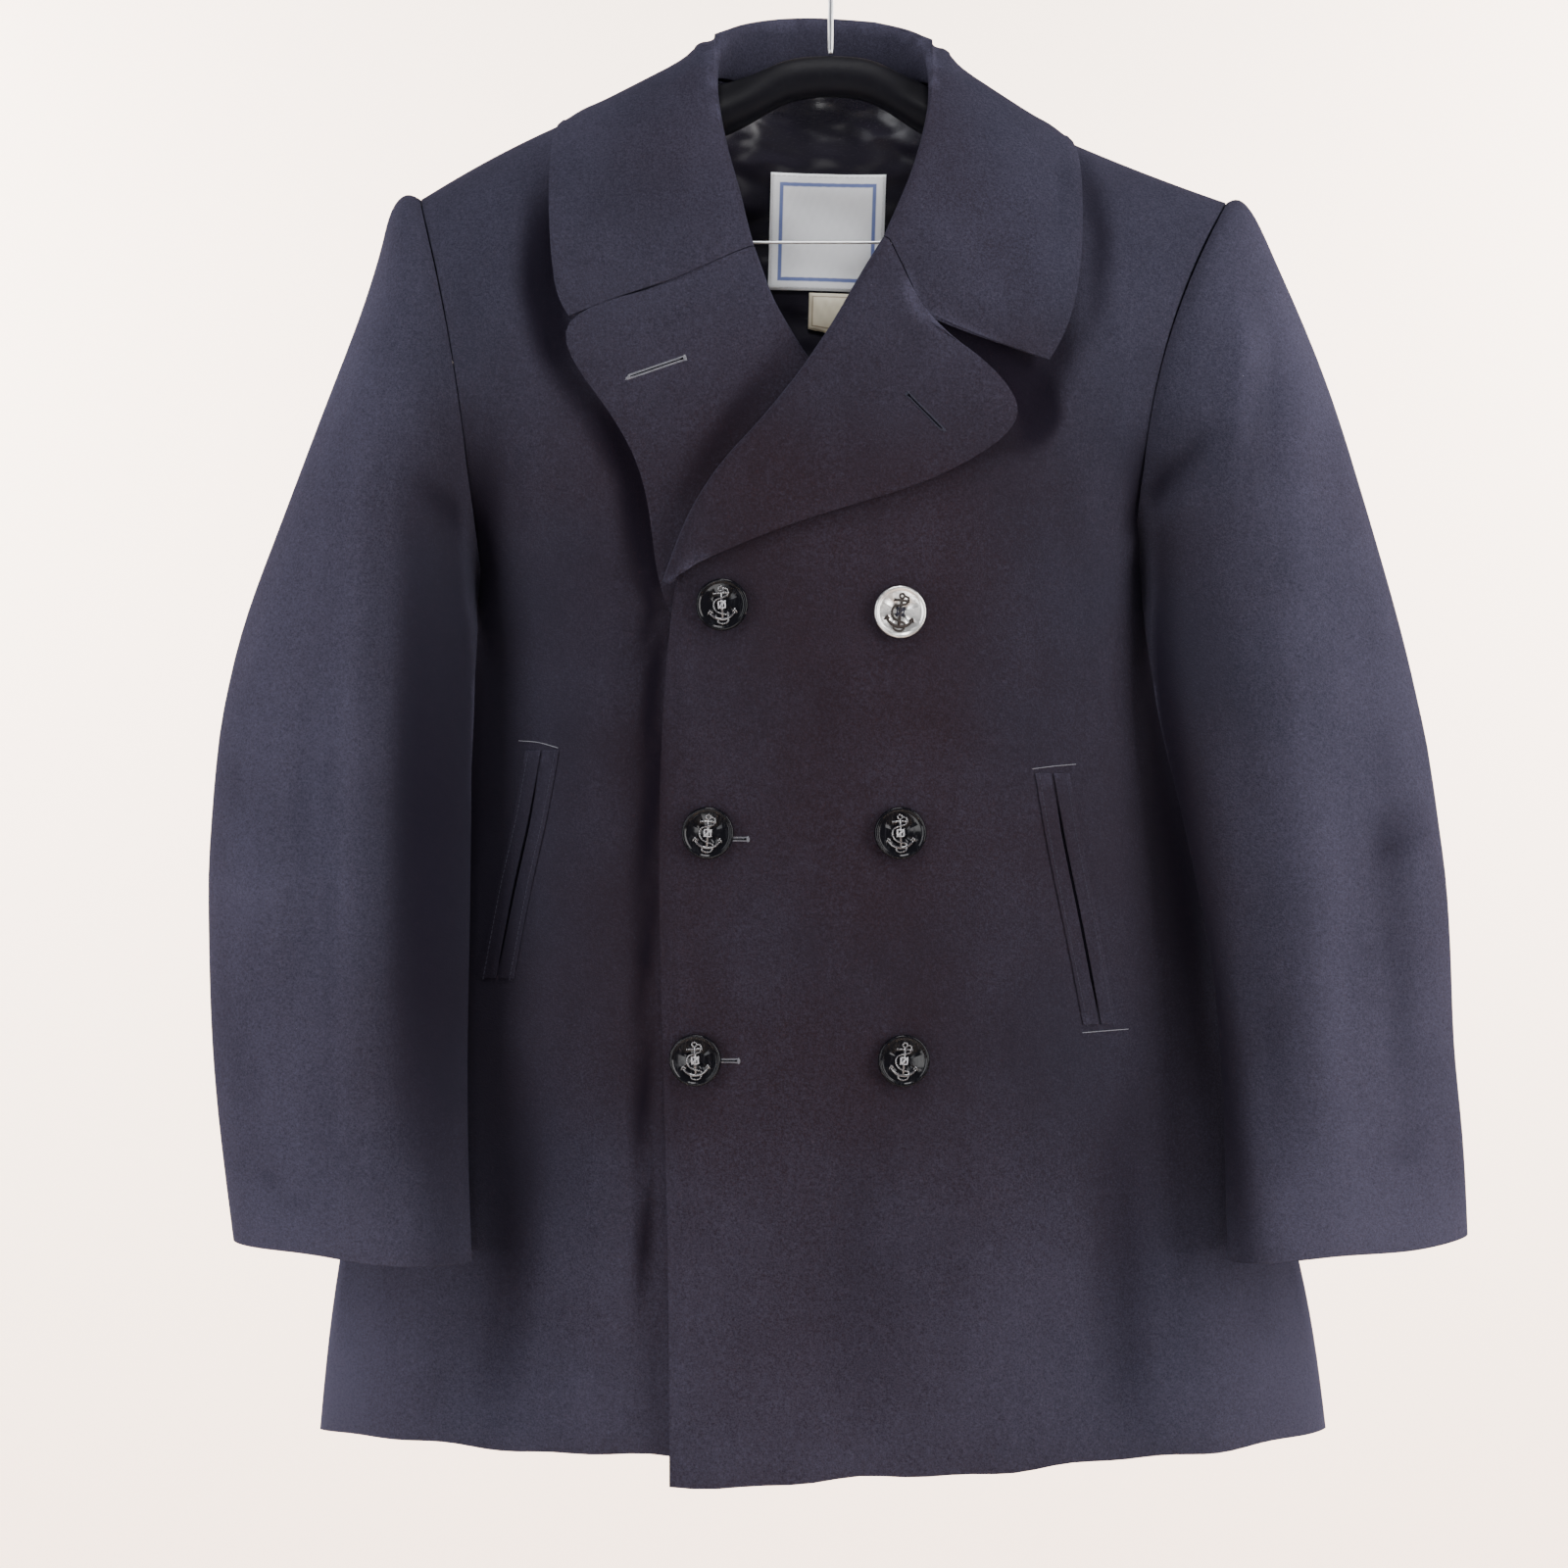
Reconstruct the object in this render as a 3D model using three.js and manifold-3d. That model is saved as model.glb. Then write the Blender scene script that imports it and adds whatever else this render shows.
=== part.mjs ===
// A double-breasted wool pea coat that hangs on a suit hanger.
// Millimetres, +Z up, the coat faces -Y. The origin is where the hook rests on its rail.
// "left" and "right" are the wearer's: the wearer's left lies at +X and laps over the right.
import * as THREE from 'three';
import { mergeVertices } from 'three/addons/utils/BufferGeometryUtils.js';
import Module from 'manifold-3d';

// Cloth and seams
const SHELL = 3;              // wool with its lining, at the body and sleeves
const TURNED = 3;             // two layers of wool pressed together, at the collar and lapels
const SEAM_GAP = 0.3;         // between two pieces that are sewn to each other
const FOLD_RADIUS = 5;        // outer radius of the roll of the collar and lapels
const FALL_LIFT = 4.6;        // outer face of a lapel's edge over the front that it lies on
const ROLL_LIFT = 7;          // the same near the roll

// Body
const MIDDLE = -8;            // centre line of the coat, a little beside the hook
const LOWER_ROWS = 9;         // hem to underarm
const UPPER_ROWS = 14;        // underarm to shoulder, as many as half a sleeve ring has
const ARMHOLE_ROWS = { first: 3, count: 9 };   // where the side's rounding gives way to the shoulder
const FRONT_COLUMNS = 11;
const NECK_COLUMNS = 3;       // columns of the back between its centre seam and the neck point
const NECK_REACH = 150;       // height in which the body reaches its full depth, at the neck
const SHOULDER_REACH = 115;   // and at the shoulder
const BACK_NECK = { y: 44, z: -96 };
const BACK_HEM = -882;

// x values are distances from the hook's line, to that side
const SIDES = {
  right: {
    sign: -1,
    neck: [72, -97], shoulderMiddle: [157, -126], shoulder: [237, -169], underarm: [203, -392],
    hemEdge: -888, hemSide: -881, breakPoint: [-84, -430],
  },
  left: {
    sign: 1,
    neck: [62, -100], shoulderMiddle: [143, -138], shoulder: [229, -171], underarm: [178, -390],
    hemEdge: -901, hemSide: -882, breakPoint: [-88, -398],
  },
};

const table = (names, rows) =>
  rows.map((row) => Object.fromEntries(names.map((name, i) => [name, row[i]])));

// Half widths of each side, depths to front and back, how far the front edge laps over the
// middle, how far the right front lies behind the left one, and how flat the section is at its
// sides, where 0.5 would be an ellipse
const BODY = table(['z', 'right', 'left', 'front', 'back', 'edge', 'under', 'flat'], [
  [-910, 298, 289, 62, 40, 83, 5, 0.65],
  [-880, 296, 287, 63, 40, 83, 5, 0.65],
  [-793, 287, 275, 66, 42, 83.4, 5, 0.65],
  [-700, 268, 248, 70, 44, 85, 5, 0.64],
  [-600, 245, 225, 72, 46, 88, 7, 0.6],
  [-500, 221, 199, 74, 48, 88, 12, 0.52],
  [-446, 209, 186, 74, 50, 85, 15, 0.43],
  [-390, 203, 178, 74, 51, 79, 15, 0.32],
  [-300, 203, 178, 72, 53, 79, 15, 0.3],
  [-200, 203, 178, 66, 52, 79, 9, 0.3],
  [-90, 203, 178, 60, 47, 79, 6, 0.3],
]);

// Inner edge of each front above its break point: the lapel's fold, then the neck seam
const FRONT_NECK = {
  left: [[-68, -349], [-27, -302], [1, -264], [22, -227], [35, -208], [43, -190], [52, -170],
    [59, -150], [63, -130], [65, -114]],
  right: [[60, -385], [30, -335], [0, -296], [-27, -264], [-42, -234], [-50, -210], [-57, -190],
    [-63, -170], [-69, -150], [-74, -130], [-75, -112]],
};
const GORGE = { left: [35, -208], right: [-50, -210] };

// Sleeve sections from the armhole down: outer and inner ends, middle and half of the depth,
// how far the inner end leans forward, and how far the front and the back are scooped inwards
const SLEEVE_NAMES = ['outX', 'outZ', 'inX', 'inZ', 'y', 'half', 'lean', 'scoopFront', 'scoopBack'];
const SLEEVES = {
  right: table(SLEEVE_NAMES, [
    [237, -169, 203, -392, 0, 50, 0, 9, 2],
    [245, -164, 205, -396, -2, 52, 0, 9, 0],
    [254, -174, 206, -400, -6, 51, 1, 8.5, -3],
    [260, -205, 206, -406, -12, 49, 2, 7.5, -7],
    [270, -240, 206, -414, -19, 46, 4, 6, -9],
    [286, -283, 205, -427, -26, 43, 6, 4.5, -10],
    [300, -322, 204, -445, -32, 40, 8, 3, -10],
    [318, -372, 203, -472, -37, 38, 9, 1.5, -8],
    [337, -422, 203, -505, -40, 37, 10, 0, -4],
    [348, -480, 203, -545, -44, 34, 10, 0, 0],
    [353, -545, 203, -590, -48, 32, 10, 0, 0],
    [352, -605, 204, -640, -50, 30, 10, 0, 0],
    [350, -655, 204, -685, -52, 29, 10, 0, 0],
    [345, -705, 203, -728, -54, 28, 10, 0, 0],
    [337, -764, 201, -776, -55, 27, 10, 0, 0],
  ]),
  left: table(SLEEVE_NAMES, [
    [229, -171, 178, -390, 0, 50, 0, 21, 3],
    [236, -167, 180, -393, -2, 52, 0, 20, 0],
    [245, -178, 182, -397, -6, 51, 1, 19, -3],
    [256, -207, 183, -403, -12, 49, 2, 17, -7],
    [271, -243, 184, -412, -19, 46, 4, 13, -9],
    [287, -287, 185, -427, -26, 43, 6, 9, -10],
    [300, -333, 187, -447, -32, 40, 8, 5, -10],
    [313, -380, 191, -476, -37, 38, 9, 2.5, -8],
    [327, -432, 199, -508, -40, 37, 10, 0, -4],
    [338, -487, 207, -545, -44, 34, 10, 0, 0],
    [346, -545, 213, -590, -48, 32, 10, 0, 0],
    [350, -600, 217, -640, -50, 30, 10, 0, 0],
    [350, -655, 218, -685, -52, 29, 10, 0, 0],
    [356, -705, 219, -728, -54, 28, 10, 0, 0],
    [358, -762, 220, -773, -55, 27, 10, 0, 0],
  ]),
};
const SLEEVE_SEAMS = { inner: 14, back: 22 };   // steps round the ring where its two parts meet

// Collar sections from the gorge to the shoulder, then round the back: their place along the
// neck seam, the roll and the outer edge. A null depth is read off the front below.
const COLLAR_NAMES = ['seam', 'rollX', 'rollY', 'rollZ', 'edgeX', 'edgeY', 'edgeZ'];
const COLLAR = {
  right: table(COLLAR_NAMES, [
    [0.08, -47, null, -195, -118, null, -235.5],
    [0.22, -50, null, -180, -147, null, -247],
    [0.37, -55, null, -162, -155, null, -235],
    [0.54, -61, null, -139, -158, null, -203],
    [0.71, -65, null, -113, -160, null, -170],
    [0.86, -66, null, -90, -160, null, -140],
    [1, -64, 6, -71, -156, 5, -114],
    [2, -55, 27, -60, -122, 46, -128],
    [3, -33, 39, -53, -70, 54, -143],
  ]),
  left: table(COLLAR_NAMES, [
    [0.08, 33, null, -192, 86, null, -262],
    [0.2, 39, null, -178, 120, null, -273],
    [0.35, 45, null, -163, 132, null, -254],
    [0.52, 51, null, -142, 139, null, -218],
    [0.69, 56, null, -118, 141, null, -184],
    [0.86, 57, null, -94, 142, null, -152],
    [1, 56, 6, -74, 138, 5, -123],
    [2, 49, 27, -63, 106, 46, -134],
    [3, 27, 39, -55, 54, 54, -145],
  ]),
};
const COLLAR_MIDDLE = table(COLLAR_NAMES, [[4, -6, 43, -51, -8, 57, -149]])[0];
const GORGE_GAP = 0.7;        // between the collar's end and the lapel
const FALL_STEPS = 6;
const ROOT_GAP = 2;            // between their root and the edge of the body, which they fold round
const ROLL_REACH = 7;         // how far a lapel's roll stands before the edge of its front

// Outer edge of each lapel, from the break point over its corner to the notch
const LAPEL_EDGE = {
  left: [[-73, -385], [-27, -366], [27, -349], [54, -340], [86, -323], [103, -309], [105, -299],
    [99, -291], [81, -272], [60, -256], [51, -248]],
  right: [[70, -446], [40, -455], [0, -457], [-40, -450], [-78, -432], [-96, -405], [-101, -360],
    [-107, -331], [-117, -311], [-136, -284], [-146, -268], [-147, -257], [-118, -240.5], [-89, -227]],
};
const LAPEL_ROWS = 14;

// Buttons on the left front
const BUTTON = { radius: 14.5, thick: 4, rim: 1.6, dish: 1.1, hole: 1.1, holeSpacing: 3.4, lift: 0.35 };
const BUTTONS = table(['name', 'x', 'z', 'metal'], [
  ['button_top_right', -61, -409, false],
  ['button_top_left', 37, -413, true],
  ['button_middle_right', -69, -535, false],
  ['button_middle_left', 37, -535, false],
  ['button_bottom_right', -76, -661, false],
  ['button_bottom_left', 39, -661, false],
]);

// Pockets: each slit lies between two narrow jets
const POCKET = { jet: 9, slit: 1.6, thick: 1.6, lift: 0.3, steps: 8 };
const POCKETS = {
  right: [[-164, -489], [-171, -527], [-180, -566], [-190, -618]],
  left: [[123, -502], [130, -542], [140, -590], [151, -643]],
};

// Lining at the back neck, made from the back's own points, and the labels sewn to it
const LINING = { thick: 1, firstRow: 13, columns: NECK_COLUMNS };
const LABEL = { x: -0.5, top: -145, width: 68.5, height: 69, tilt: -1.6, thick: 0.6, gap: 0.8 };
const SIZE_TAB = { x: 3, top: -215.5, width: 30, height: 20, tilt: -1.6, thick: 0.6, gap: 0.5 };

// Hanger
const HANGER = {
  tip: 204, thick: 42, under: 43, clear: 4.6, hubTop: -85, hubHalf: 19, hubThick: 16,
  wire: 3.6, hookRadius: 21, barWire: 2, barZ: -194, barEnd: 0.5,
};

const WOOL = { color: 0x14141e, roughness: 0.95, metalness: 0 };
const SATIN = { color: 0x171322, roughness: 0.4, metalness: 0 };
const LABEL_CLOTH = { color: 0xe2e3e6, roughness: 0.6, metalness: 0 };
const TAB_CLOTH = { color: 0xcfc4a8, roughness: 0.7, metalness: 0 };
const BLACK_PLASTIC = { color: 0x0b0b0d, roughness: 0.2, metalness: 0 };
const SILVER = { color: 0xb9bcc0, roughness: 0.35, metalness: 1 };
const HANGER_PLASTIC = { color: 0x0d0d10, roughness: 0.45, metalness: 0 };
const STEEL = { color: 0x8d8f93, roughness: 0.3, metalness: 1 };

const coat = new THREE.Group();
const { lerp, degToRad } = THREE.MathUtils;
const vec = (x, y, z) => new THREE.Vector3(x, y, z);
const clamp01 = (t) => Math.min(1, Math.max(0, t));
const smooth = (t) => clamp01(t) ** 2 * (3 - 2 * clamp01(t));

function addNode(name, geometry, look) {
  const mesh = new THREE.Mesh(geometry, new THREE.MeshStandardMaterial(look));
  mesh.name = name;
  coat.add(mesh);
  return mesh;
}

// One column of a table at a given height, with smooth slopes between its rows
function column(rows, name, z) {
  const key = (i) => rows[i].z;
  let i = 0;
  while (i < rows.length - 2 && key(i + 1) < z) i += 1;
  const slope = (j) => {
    const a = Math.max(0, j - 1);
    const b = Math.min(rows.length - 1, j + 1);
    return (rows[b][name] - rows[a][name]) / (key(b) - key(a));
  };
  const span = key(i + 1) - key(i);
  const t = clamp01((z - key(i)) / span);
  const fall = (1 - t) ** 2;
  return fall * (1 + 2 * t) * rows[i][name] + fall * t * span * slope(i)
    + t * t * (3 - 2 * t) * rows[i + 1][name] - t * t * (1 - t) * span * slope(i + 1);
}

// A smooth line through places given as [x, z]
function line(places) {
  const points = places.map(([x, z]) => vec(x, 0, z));
  return new THREE.CatmullRomCurve3(points, false, 'centripetal');
}

// Triangles of a closed surface
class Surface {
  constructor() {
    this.positions = [];
  }

  triangle(a, b, c) {
    for (const p of [a, b, c]) this.positions.push(p.x, p.y, p.z);
  }

  // Split along its shorter diagonal, so that parallel faces are split alike
  quad(a, b, c, d) {
    if (a.distanceTo(c) <= b.distanceTo(d)) {
      this.triangle(a, b, c);
      this.triangle(a, c, d);
    } else {
      this.triangle(b, c, d);
      this.triangle(b, d, a);
    }
  }

  geometry() {
    const geometry = new THREE.BufferGeometry();
    geometry.setAttribute('position', new THREE.Float32BufferAttribute(this.positions, 3));
    geometry.computeVertexNormals();
    return geometry;
  }
}

// Normals of a grid of points; flip turns them to its other side
function gridNormals(grid, flip) {
  const rows = grid.length;
  const columns = grid[0].length;
  return grid.map((row, i) => row.map((point, j) => {
    const up = grid[Math.min(rows - 1, i + 1)][j].clone().sub(grid[Math.max(0, i - 1)][j]);
    const along = row[Math.min(columns - 1, j + 1)].clone().sub(row[Math.max(0, j - 1)]);
    return along.cross(up).multiplyScalar(flip ? -1 : 1).normalize();
  }));
}

// A piece of cloth: its visible face is a grid, its other face lies its thickness behind
class Cloth {
  constructor(grid, thick, flip) {
    this.grid = grid;
    this.thick = thick;
    this.flip = flip;
    this.normals = gridNormals(grid, flip);
  }

  // The pieces that meet at a seam share their normals there, so that their edges stay parallel
  static sew(places) {
    const shared = vec(0, 0, 0);
    for (const [cloth, i, j] of places) shared.add(cloth.normals[i][j]);
    shared.normalize();
    for (const [cloth, i, j] of places) cloth.normals[i][j].copy(shared);
  }

  geometry() {
    const { grid, flip } = this;
    const inner = this.innerFace();
    const surface = new Surface();
    const quad = flip
      ? (a, b, c, d) => surface.quad(d, c, b, a)
      : (a, b, c, d) => surface.quad(a, b, c, d);
    const last = grid.length - 1;
    const end = grid[0].length - 1;
    for (let i = 0; i < last; i++) {
      for (let j = 0; j < end; j++) {
        quad(grid[i][j], grid[i][j + 1], grid[i + 1][j + 1], grid[i + 1][j]);
        quad(inner[i][j], inner[i + 1][j], inner[i + 1][j + 1], inner[i][j + 1]);
      }
      quad(grid[i][0], grid[i + 1][0], inner[i + 1][0], inner[i][0]);
      quad(grid[i][end], inner[i][end], inner[i + 1][end], grid[i + 1][end]);
    }
    for (let j = 0; j < end; j++) {
      quad(grid[0][j], inner[0][j], inner[0][j + 1], grid[0][j + 1]);
      quad(grid[last][j], grid[last][j + 1], inner[last][j + 1], inner[last][j]);
    }
    return surface.geometry();
  }

  innerFace() {
    return this.grid.map((row, i) => row.map((p, j) => p.clone().addScaledVector(this.normals[i][j], -this.thick)));
  }
}

// Depth of a grid at a place seen from the front, or null beside it
function gridDepth(grid, x, z) {
  for (let i = 0; i < grid.length - 1; i++) {
    for (let j = 0; j < grid[0].length - 1; j++) {
      const a = grid[i][j];
      const b = grid[i][j + 1];
      const c = grid[i + 1][j + 1];
      const d = grid[i + 1][j];
      const halves = a.distanceTo(c) <= b.distanceTo(d) ? [[a, b, c], [a, c, d]] : [[b, c, d], [b, d, a]];
      for (const [p, q, r] of halves) {
        const area = (q.x - p.x) * (r.z - p.z) - (r.x - p.x) * (q.z - p.z);
        if (Math.abs(area) < 1e-9) continue;
        const s = ((x - p.x) * (r.z - p.z) - (r.x - p.x) * (z - p.z)) / area;
        const t = ((q.x - p.x) * (z - p.z) - (x - p.x) * (q.z - p.z)) / area;
        if (s >= -1e-6 && t >= -1e-6 && s + t <= 1 + 1e-6) {
          return p.y + s * (q.y - p.y) + t * (r.y - p.y);
        }
      }
    }
  }
  return null;
}

// The same, or the depth at the nearest place that the grid covers
function nearDepth(grid, x, z) {
  for (let reach = 0; reach < 30; reach += 0.5) {
    for (const [dx, dz] of [[0, 0], [-1, 0], [1, 0], [0, -1], [0, 1], [-0.7, -0.7], [0.7, -0.7]]) {
      const depth = gridDepth(grid, x + dx * reach, z + dz * reach);
      if (depth !== null) return depth;
    }
  }
  return 0;
}

// Height of the shoulder seam
function shoulderHeight(side, x) {
  const [x0, z0] = side.neck;
  const [x1, z1] = side.shoulderMiddle;
  const [x2, z2] = side.shoulder;
  const across = Math.max(x0, Math.min(x2, side.sign * x));
  return z0 * (across - x1) * (across - x2) / ((x0 - x1) * (x0 - x2))
    + z1 * (across - x0) * (across - x2) / ((x1 - x0) * (x1 - x2))
    + z2 * (across - x0) * (across - x1) / ((x2 - x0) * (x2 - x1));
}

// How much of the body's depth is reached a given height below the shoulder
function shoulderFall(side, x, z) {
  const outward = clamp01((side.sign * x - side.neck[0]) / (side.shoulder[0] - side.neck[0]));
  const reach = lerp(NECK_REACH, SHOULDER_REACH, outward);
  const t = clamp01((shoulderHeight(side, x) - z) / reach);
  return (1 - (1 - t) ** 2) ** 0.75;
}

// A place on a sleeve section; step 0 is its outer end, then the ring runs round by the front
function sleevePlace(side, section, step) {
  const angle = Math.PI * step / UPPER_ROWS;
  const across = Math.cos(angle);
  const forward = Math.sin(angle);
  const scoop = (forward > 0 ? section.scoopFront : section.scoopBack) * forward ** 2;
  const x = (section.outX + section.inX) / 2 + (section.outX - section.inX) / 2 * across - scoop;
  const y = section.y + section.lean * across - section.half * forward;
  const z = (section.outZ + section.inZ) / 2 + (section.outZ - section.inZ) / 2 * across;
  return vec(side.sign * x, y, z);
}

// One row of a body panel runs from its inner place to its outer place
function bodyRow(face, depthOf, inner, outer, outerDepth, share, rise, count) {
  const row = [];
  const full = (x, z) => depthOf(z) * face.fall(x, z);
  const edgeDepth = full(outer.x, outer.z);
  const flat = column(BODY, 'flat', outer.z);
  const reach = 1 - clamp01(outerDepth / Math.max(edgeDepth, 1e-6)) ** (1 / flat);
  for (let j = 0; j <= count; j++) {
    const across = face.across(j);
    const x = lerp(inner.x, outer.x, across);
    const z = lerp(inner.z, outer.z, across) + rise(x, across);
    const spread = Math.min(1, Math.abs(x - MIDDLE) / Math.abs(outer.x - MIDDLE));
    const rounded = edgeDepth * (1 - (1 - reach * spread ** 2) ** flat);
    const depth = full(x, z) - lerp(rounded, (edgeDepth - outerDepth) * spread ** 3, share);
    row.push(vec(x, face.sign * Math.max(0, depth), z));
  }
  return row;
}

// Outer boundary of a body panel at one row: the side seam, then the armhole
function outerPlace(side, name, faceSign, i) {
  if (i < LOWER_ROWS) {
    const z = lerp(side.hemSide, side.underarm[1], i / LOWER_ROWS);
    return vec(side.sign * column(BODY, name, z), 0, z);
  }
  const step = UPPER_ROWS - (i - LOWER_ROWS);
  return sleevePlace(side, SLEEVES[name][0], faceSign < 0 ? step : -step);
}

// How far a row has risen from the underarm to the shoulder
const risen = (i) => clamp01((i - LOWER_ROWS) / UPPER_ROWS);
const armholeShare = (i) => smooth((i - LOWER_ROWS - ARMHOLE_ROWS.first) / ARMHOLE_ROWS.count);

// The same along the inner edge, where the rows lie closer at both ends, as at the armhole
const risenInside = (i) => lerp(risen(i), (1 - Math.cos(Math.PI * risen(i))) / 2, 0.75);

function frontPanel(name) {
  const side = SIDES[name];
  const under = name === 'right' ? 1 : 0;
  const [neckX, neckZ] = side.neck;
  const rollPlaces = [[side.breakPoint[0] * (under ? -1 : 1), side.breakPoint[1]],
    ...FRONT_NECK[name], [side.sign * neckX, neckZ]];
  const roll = line(rollPlaces);
  const face = {
    sign: -1,
    fall: (x, z) => shoulderFall(side, x, z),
  };
  const columnShare = (j, t) => lerp(Math.sin(j / FRONT_COLUMNS * Math.PI / 2), j / FRONT_COLUMNS, smooth(t));
  const depthOf = (z) => column(BODY, 'front', z) - under * column(BODY, 'under', z);
  const grid = [];
  for (let i = 0; i <= LOWER_ROWS + UPPER_ROWS; i++) {
    const outer = outerPlace(side, name, -1, i);
    const t = risen(i);
    let inner;
    if (i < LOWER_ROWS) {
      const z = lerp(side.hemEdge, side.breakPoint[1], i / LOWER_ROWS);
      inner = vec(MIDDLE - side.sign * column(BODY, 'edge', z), 0, z);
    } else {
      inner = roll.getPointAt(risenInside(i));
    }
    const rise = (x, across) => t ** 4
      * (shoulderHeight(side, x) - lerp(neckZ, side.shoulder[1], across));
    const outerDepth = Math.max(0, -outer.y);
    const rowFace = { ...face, across: (j) => columnShare(j, t) };
    const row = bodyRow(rowFace, depthOf, inner, outer, outerDepth, armholeShare(i), rise, FRONT_COLUMNS);
    for (const point of row) point.y -= SEAM_GAP / 2;
    grid.push(row);
  }
  return new Cloth(grid, SHELL, side.sign < 0);
}

function backPanel(name) {
  const side = SIDES[name];
  const neckX = side.sign * side.neck[0];
  const shoulderX = side.sign * side.shoulder[0];
  const columns = NECK_COLUMNS + FRONT_COLUMNS;
  const neckPart = (neckX - MIDDLE) / (shoulderX - MIDDLE);
  const inNeck = (x) => clamp01((neckX - x) / (neckX - MIDDLE));
  const neckDepth = (x) => BACK_NECK.y * (1 - (1 - inNeck(x)) ** 2) ** 0.6;
  const topHeight = (x) => (inNeck(x) > 0
    ? lerp(side.neck[1], BACK_NECK.z, smooth(inNeck(x)))
    : shoulderHeight(side, x));
  const depthOf = (z) => column(BODY, 'back', z);
  const face = {
    sign: 1,
    fall: (x, z) => {
      const kept = neckDepth(x) / depthOf(BACK_NECK.z);
      return kept + (1 - kept) * shoulderFall(side, x, z);
    },
  };
  const columnShare = (j, t) => {
    const top = j <= NECK_COLUMNS
      ? neckPart * j / NECK_COLUMNS
      : lerp(neckPart, 1, (j - NECK_COLUMNS) / FRONT_COLUMNS);
    return lerp(Math.sin(j / columns * Math.PI / 2), top, smooth(t));
  };
  const grid = [];
  for (let i = 0; i <= LOWER_ROWS + UPPER_ROWS; i++) {
    const outer = outerPlace(side, name, 1, i);
    const t = risen(i);
    const innerZ = i < LOWER_ROWS
      ? lerp(BACK_HEM, side.underarm[1], i / LOWER_ROWS)
      : lerp(side.underarm[1], BACK_NECK.z, risenInside(i));
    const inner = vec(MIDDLE + side.sign * SEAM_GAP / 2, 0, innerZ);
    const rise = (x, across) => t ** 4
      * (topHeight(x) - lerp(BACK_NECK.z, side.shoulder[1], across));
    const rowFace = { ...face, across: (j) => columnShare(j, t) };
    const outerDepth = Math.max(0, outer.y);
    const row = bodyRow(rowFace, depthOf, inner, outer, outerDepth, armholeShare(i), rise, columns);
    for (const point of row) point.y += SEAM_GAP / 2;
    grid.push(row);
  }
  return new Cloth(grid, SHELL, side.sign > 0);
}

// A stretch of the sleeve's rings between two steps
function sleevePart(name, from, to) {
  const side = SIDES[name];
  const grid = SLEEVES[name].map((section) => {
    const ring = [];
    for (let step = from; step <= to; step++) {
      const point = sleevePlace(side, section, step);
      point.x += side.sign * SEAM_GAP;
      ring.push(point);
    }
    return ring;
  });
  return new Cloth(grid, SHELL, side.sign < 0);
}

// Parts the two edges of a sleeve's seam by half a gap each
function partEdges(cloth, side) {
  for (const row of cloth.grid) {
    const first = row[1].clone().sub(row[0]).setLength(SEAM_GAP / 2);
    const final = row.at(-2).clone().sub(row.at(-1)).setLength(SEAM_GAP / 2);
    row[0].add(first);
    row.at(-1).add(final);
  }
  cloth.normals = gridNormals(cloth.grid, side.sign < 0);
}

function buildBody() {
  const pieces = {};
  const ringSteps = 2 * UPPER_ROWS;
  const lastRow = LOWER_ROWS + UPPER_ROWS;
  for (const [name, side] of Object.entries(SIDES)) {
    const front = frontPanel(name);
    const back = backPanel(name);
    const top = sleevePart(name, SLEEVE_SEAMS.back - ringSteps, SLEEVE_SEAMS.inner);
    const under = sleevePart(name, SLEEVE_SEAMS.inner, SLEEVE_SEAMS.back);
    partEdges(top, side);
    partEdges(under, side);
    const atRing = (step) => {
      const places = [];
      if (step <= SLEEVE_SEAMS.inner) places.push([top, 0, step - (SLEEVE_SEAMS.back - ringSteps)]);
      if (step >= SLEEVE_SEAMS.inner) places.push([under, 0, step - SLEEVE_SEAMS.inner]);
      return places;
    };
    const backEnd = NECK_COLUMNS + FRONT_COLUMNS;
    for (let i = 0; i < LOWER_ROWS; i++) Cloth.sew([[front, i, FRONT_COLUMNS], [back, i, backEnd]]);
    for (let k = 0; k <= UPPER_ROWS; k++) {
      const row = lastRow - k;
      const forward = [[front, row, FRONT_COLUMNS], ...atRing(k)];
      const backward = [[back, row, backEnd], ...atRing(k === 0 ? 0 : (k <= ringSteps - SLEEVE_SEAMS.back
        ? -k : ringSteps - k))];
      if (k === 0 || k === UPPER_ROWS) Cloth.sew([...forward, ...backward]);
      else {
        Cloth.sew(forward);
        if (ringSteps - k === SLEEVE_SEAMS.back) Cloth.sew([...backward, ...atRing(SLEEVE_SEAMS.back)]);
        else Cloth.sew(backward);
      }
    }
    for (let j = 0; j < FRONT_COLUMNS; j++) {
      Cloth.sew([[front, lastRow, j], [back, lastRow, j + NECK_COLUMNS]]);
    }
    const rings = SLEEVES[name].length;
    const topEnd = top.grid[0].length - 1;
    const underEnd = under.grid[0].length - 1;
    for (let r = 1; r < rings; r++) {
      Cloth.sew([[top, r, topEnd], [under, r, 0]]);
      Cloth.sew([[top, r, 0], [under, r, underEnd]]);
    }
    pieces[name] = { front, back, top, under };
  }
  for (let i = 0; i <= lastRow; i++) {
    Cloth.sew([[pieces.left.back, i, 0], [pieces.right.back, i, 0]]);
  }
  for (const [name, { front, back, top, under }] of Object.entries(pieces)) {
    addNode(`front_${name}`, front.geometry(), WOOL);
    addNode(`back_${name}`, back.geometry(), WOOL);
    addNode(`top_sleeve_${name}`, top.geometry(), WOOL);
    addNode(`under_sleeve_${name}`, under.geometry(), WOOL);
  }
  return pieces;
}

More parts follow.
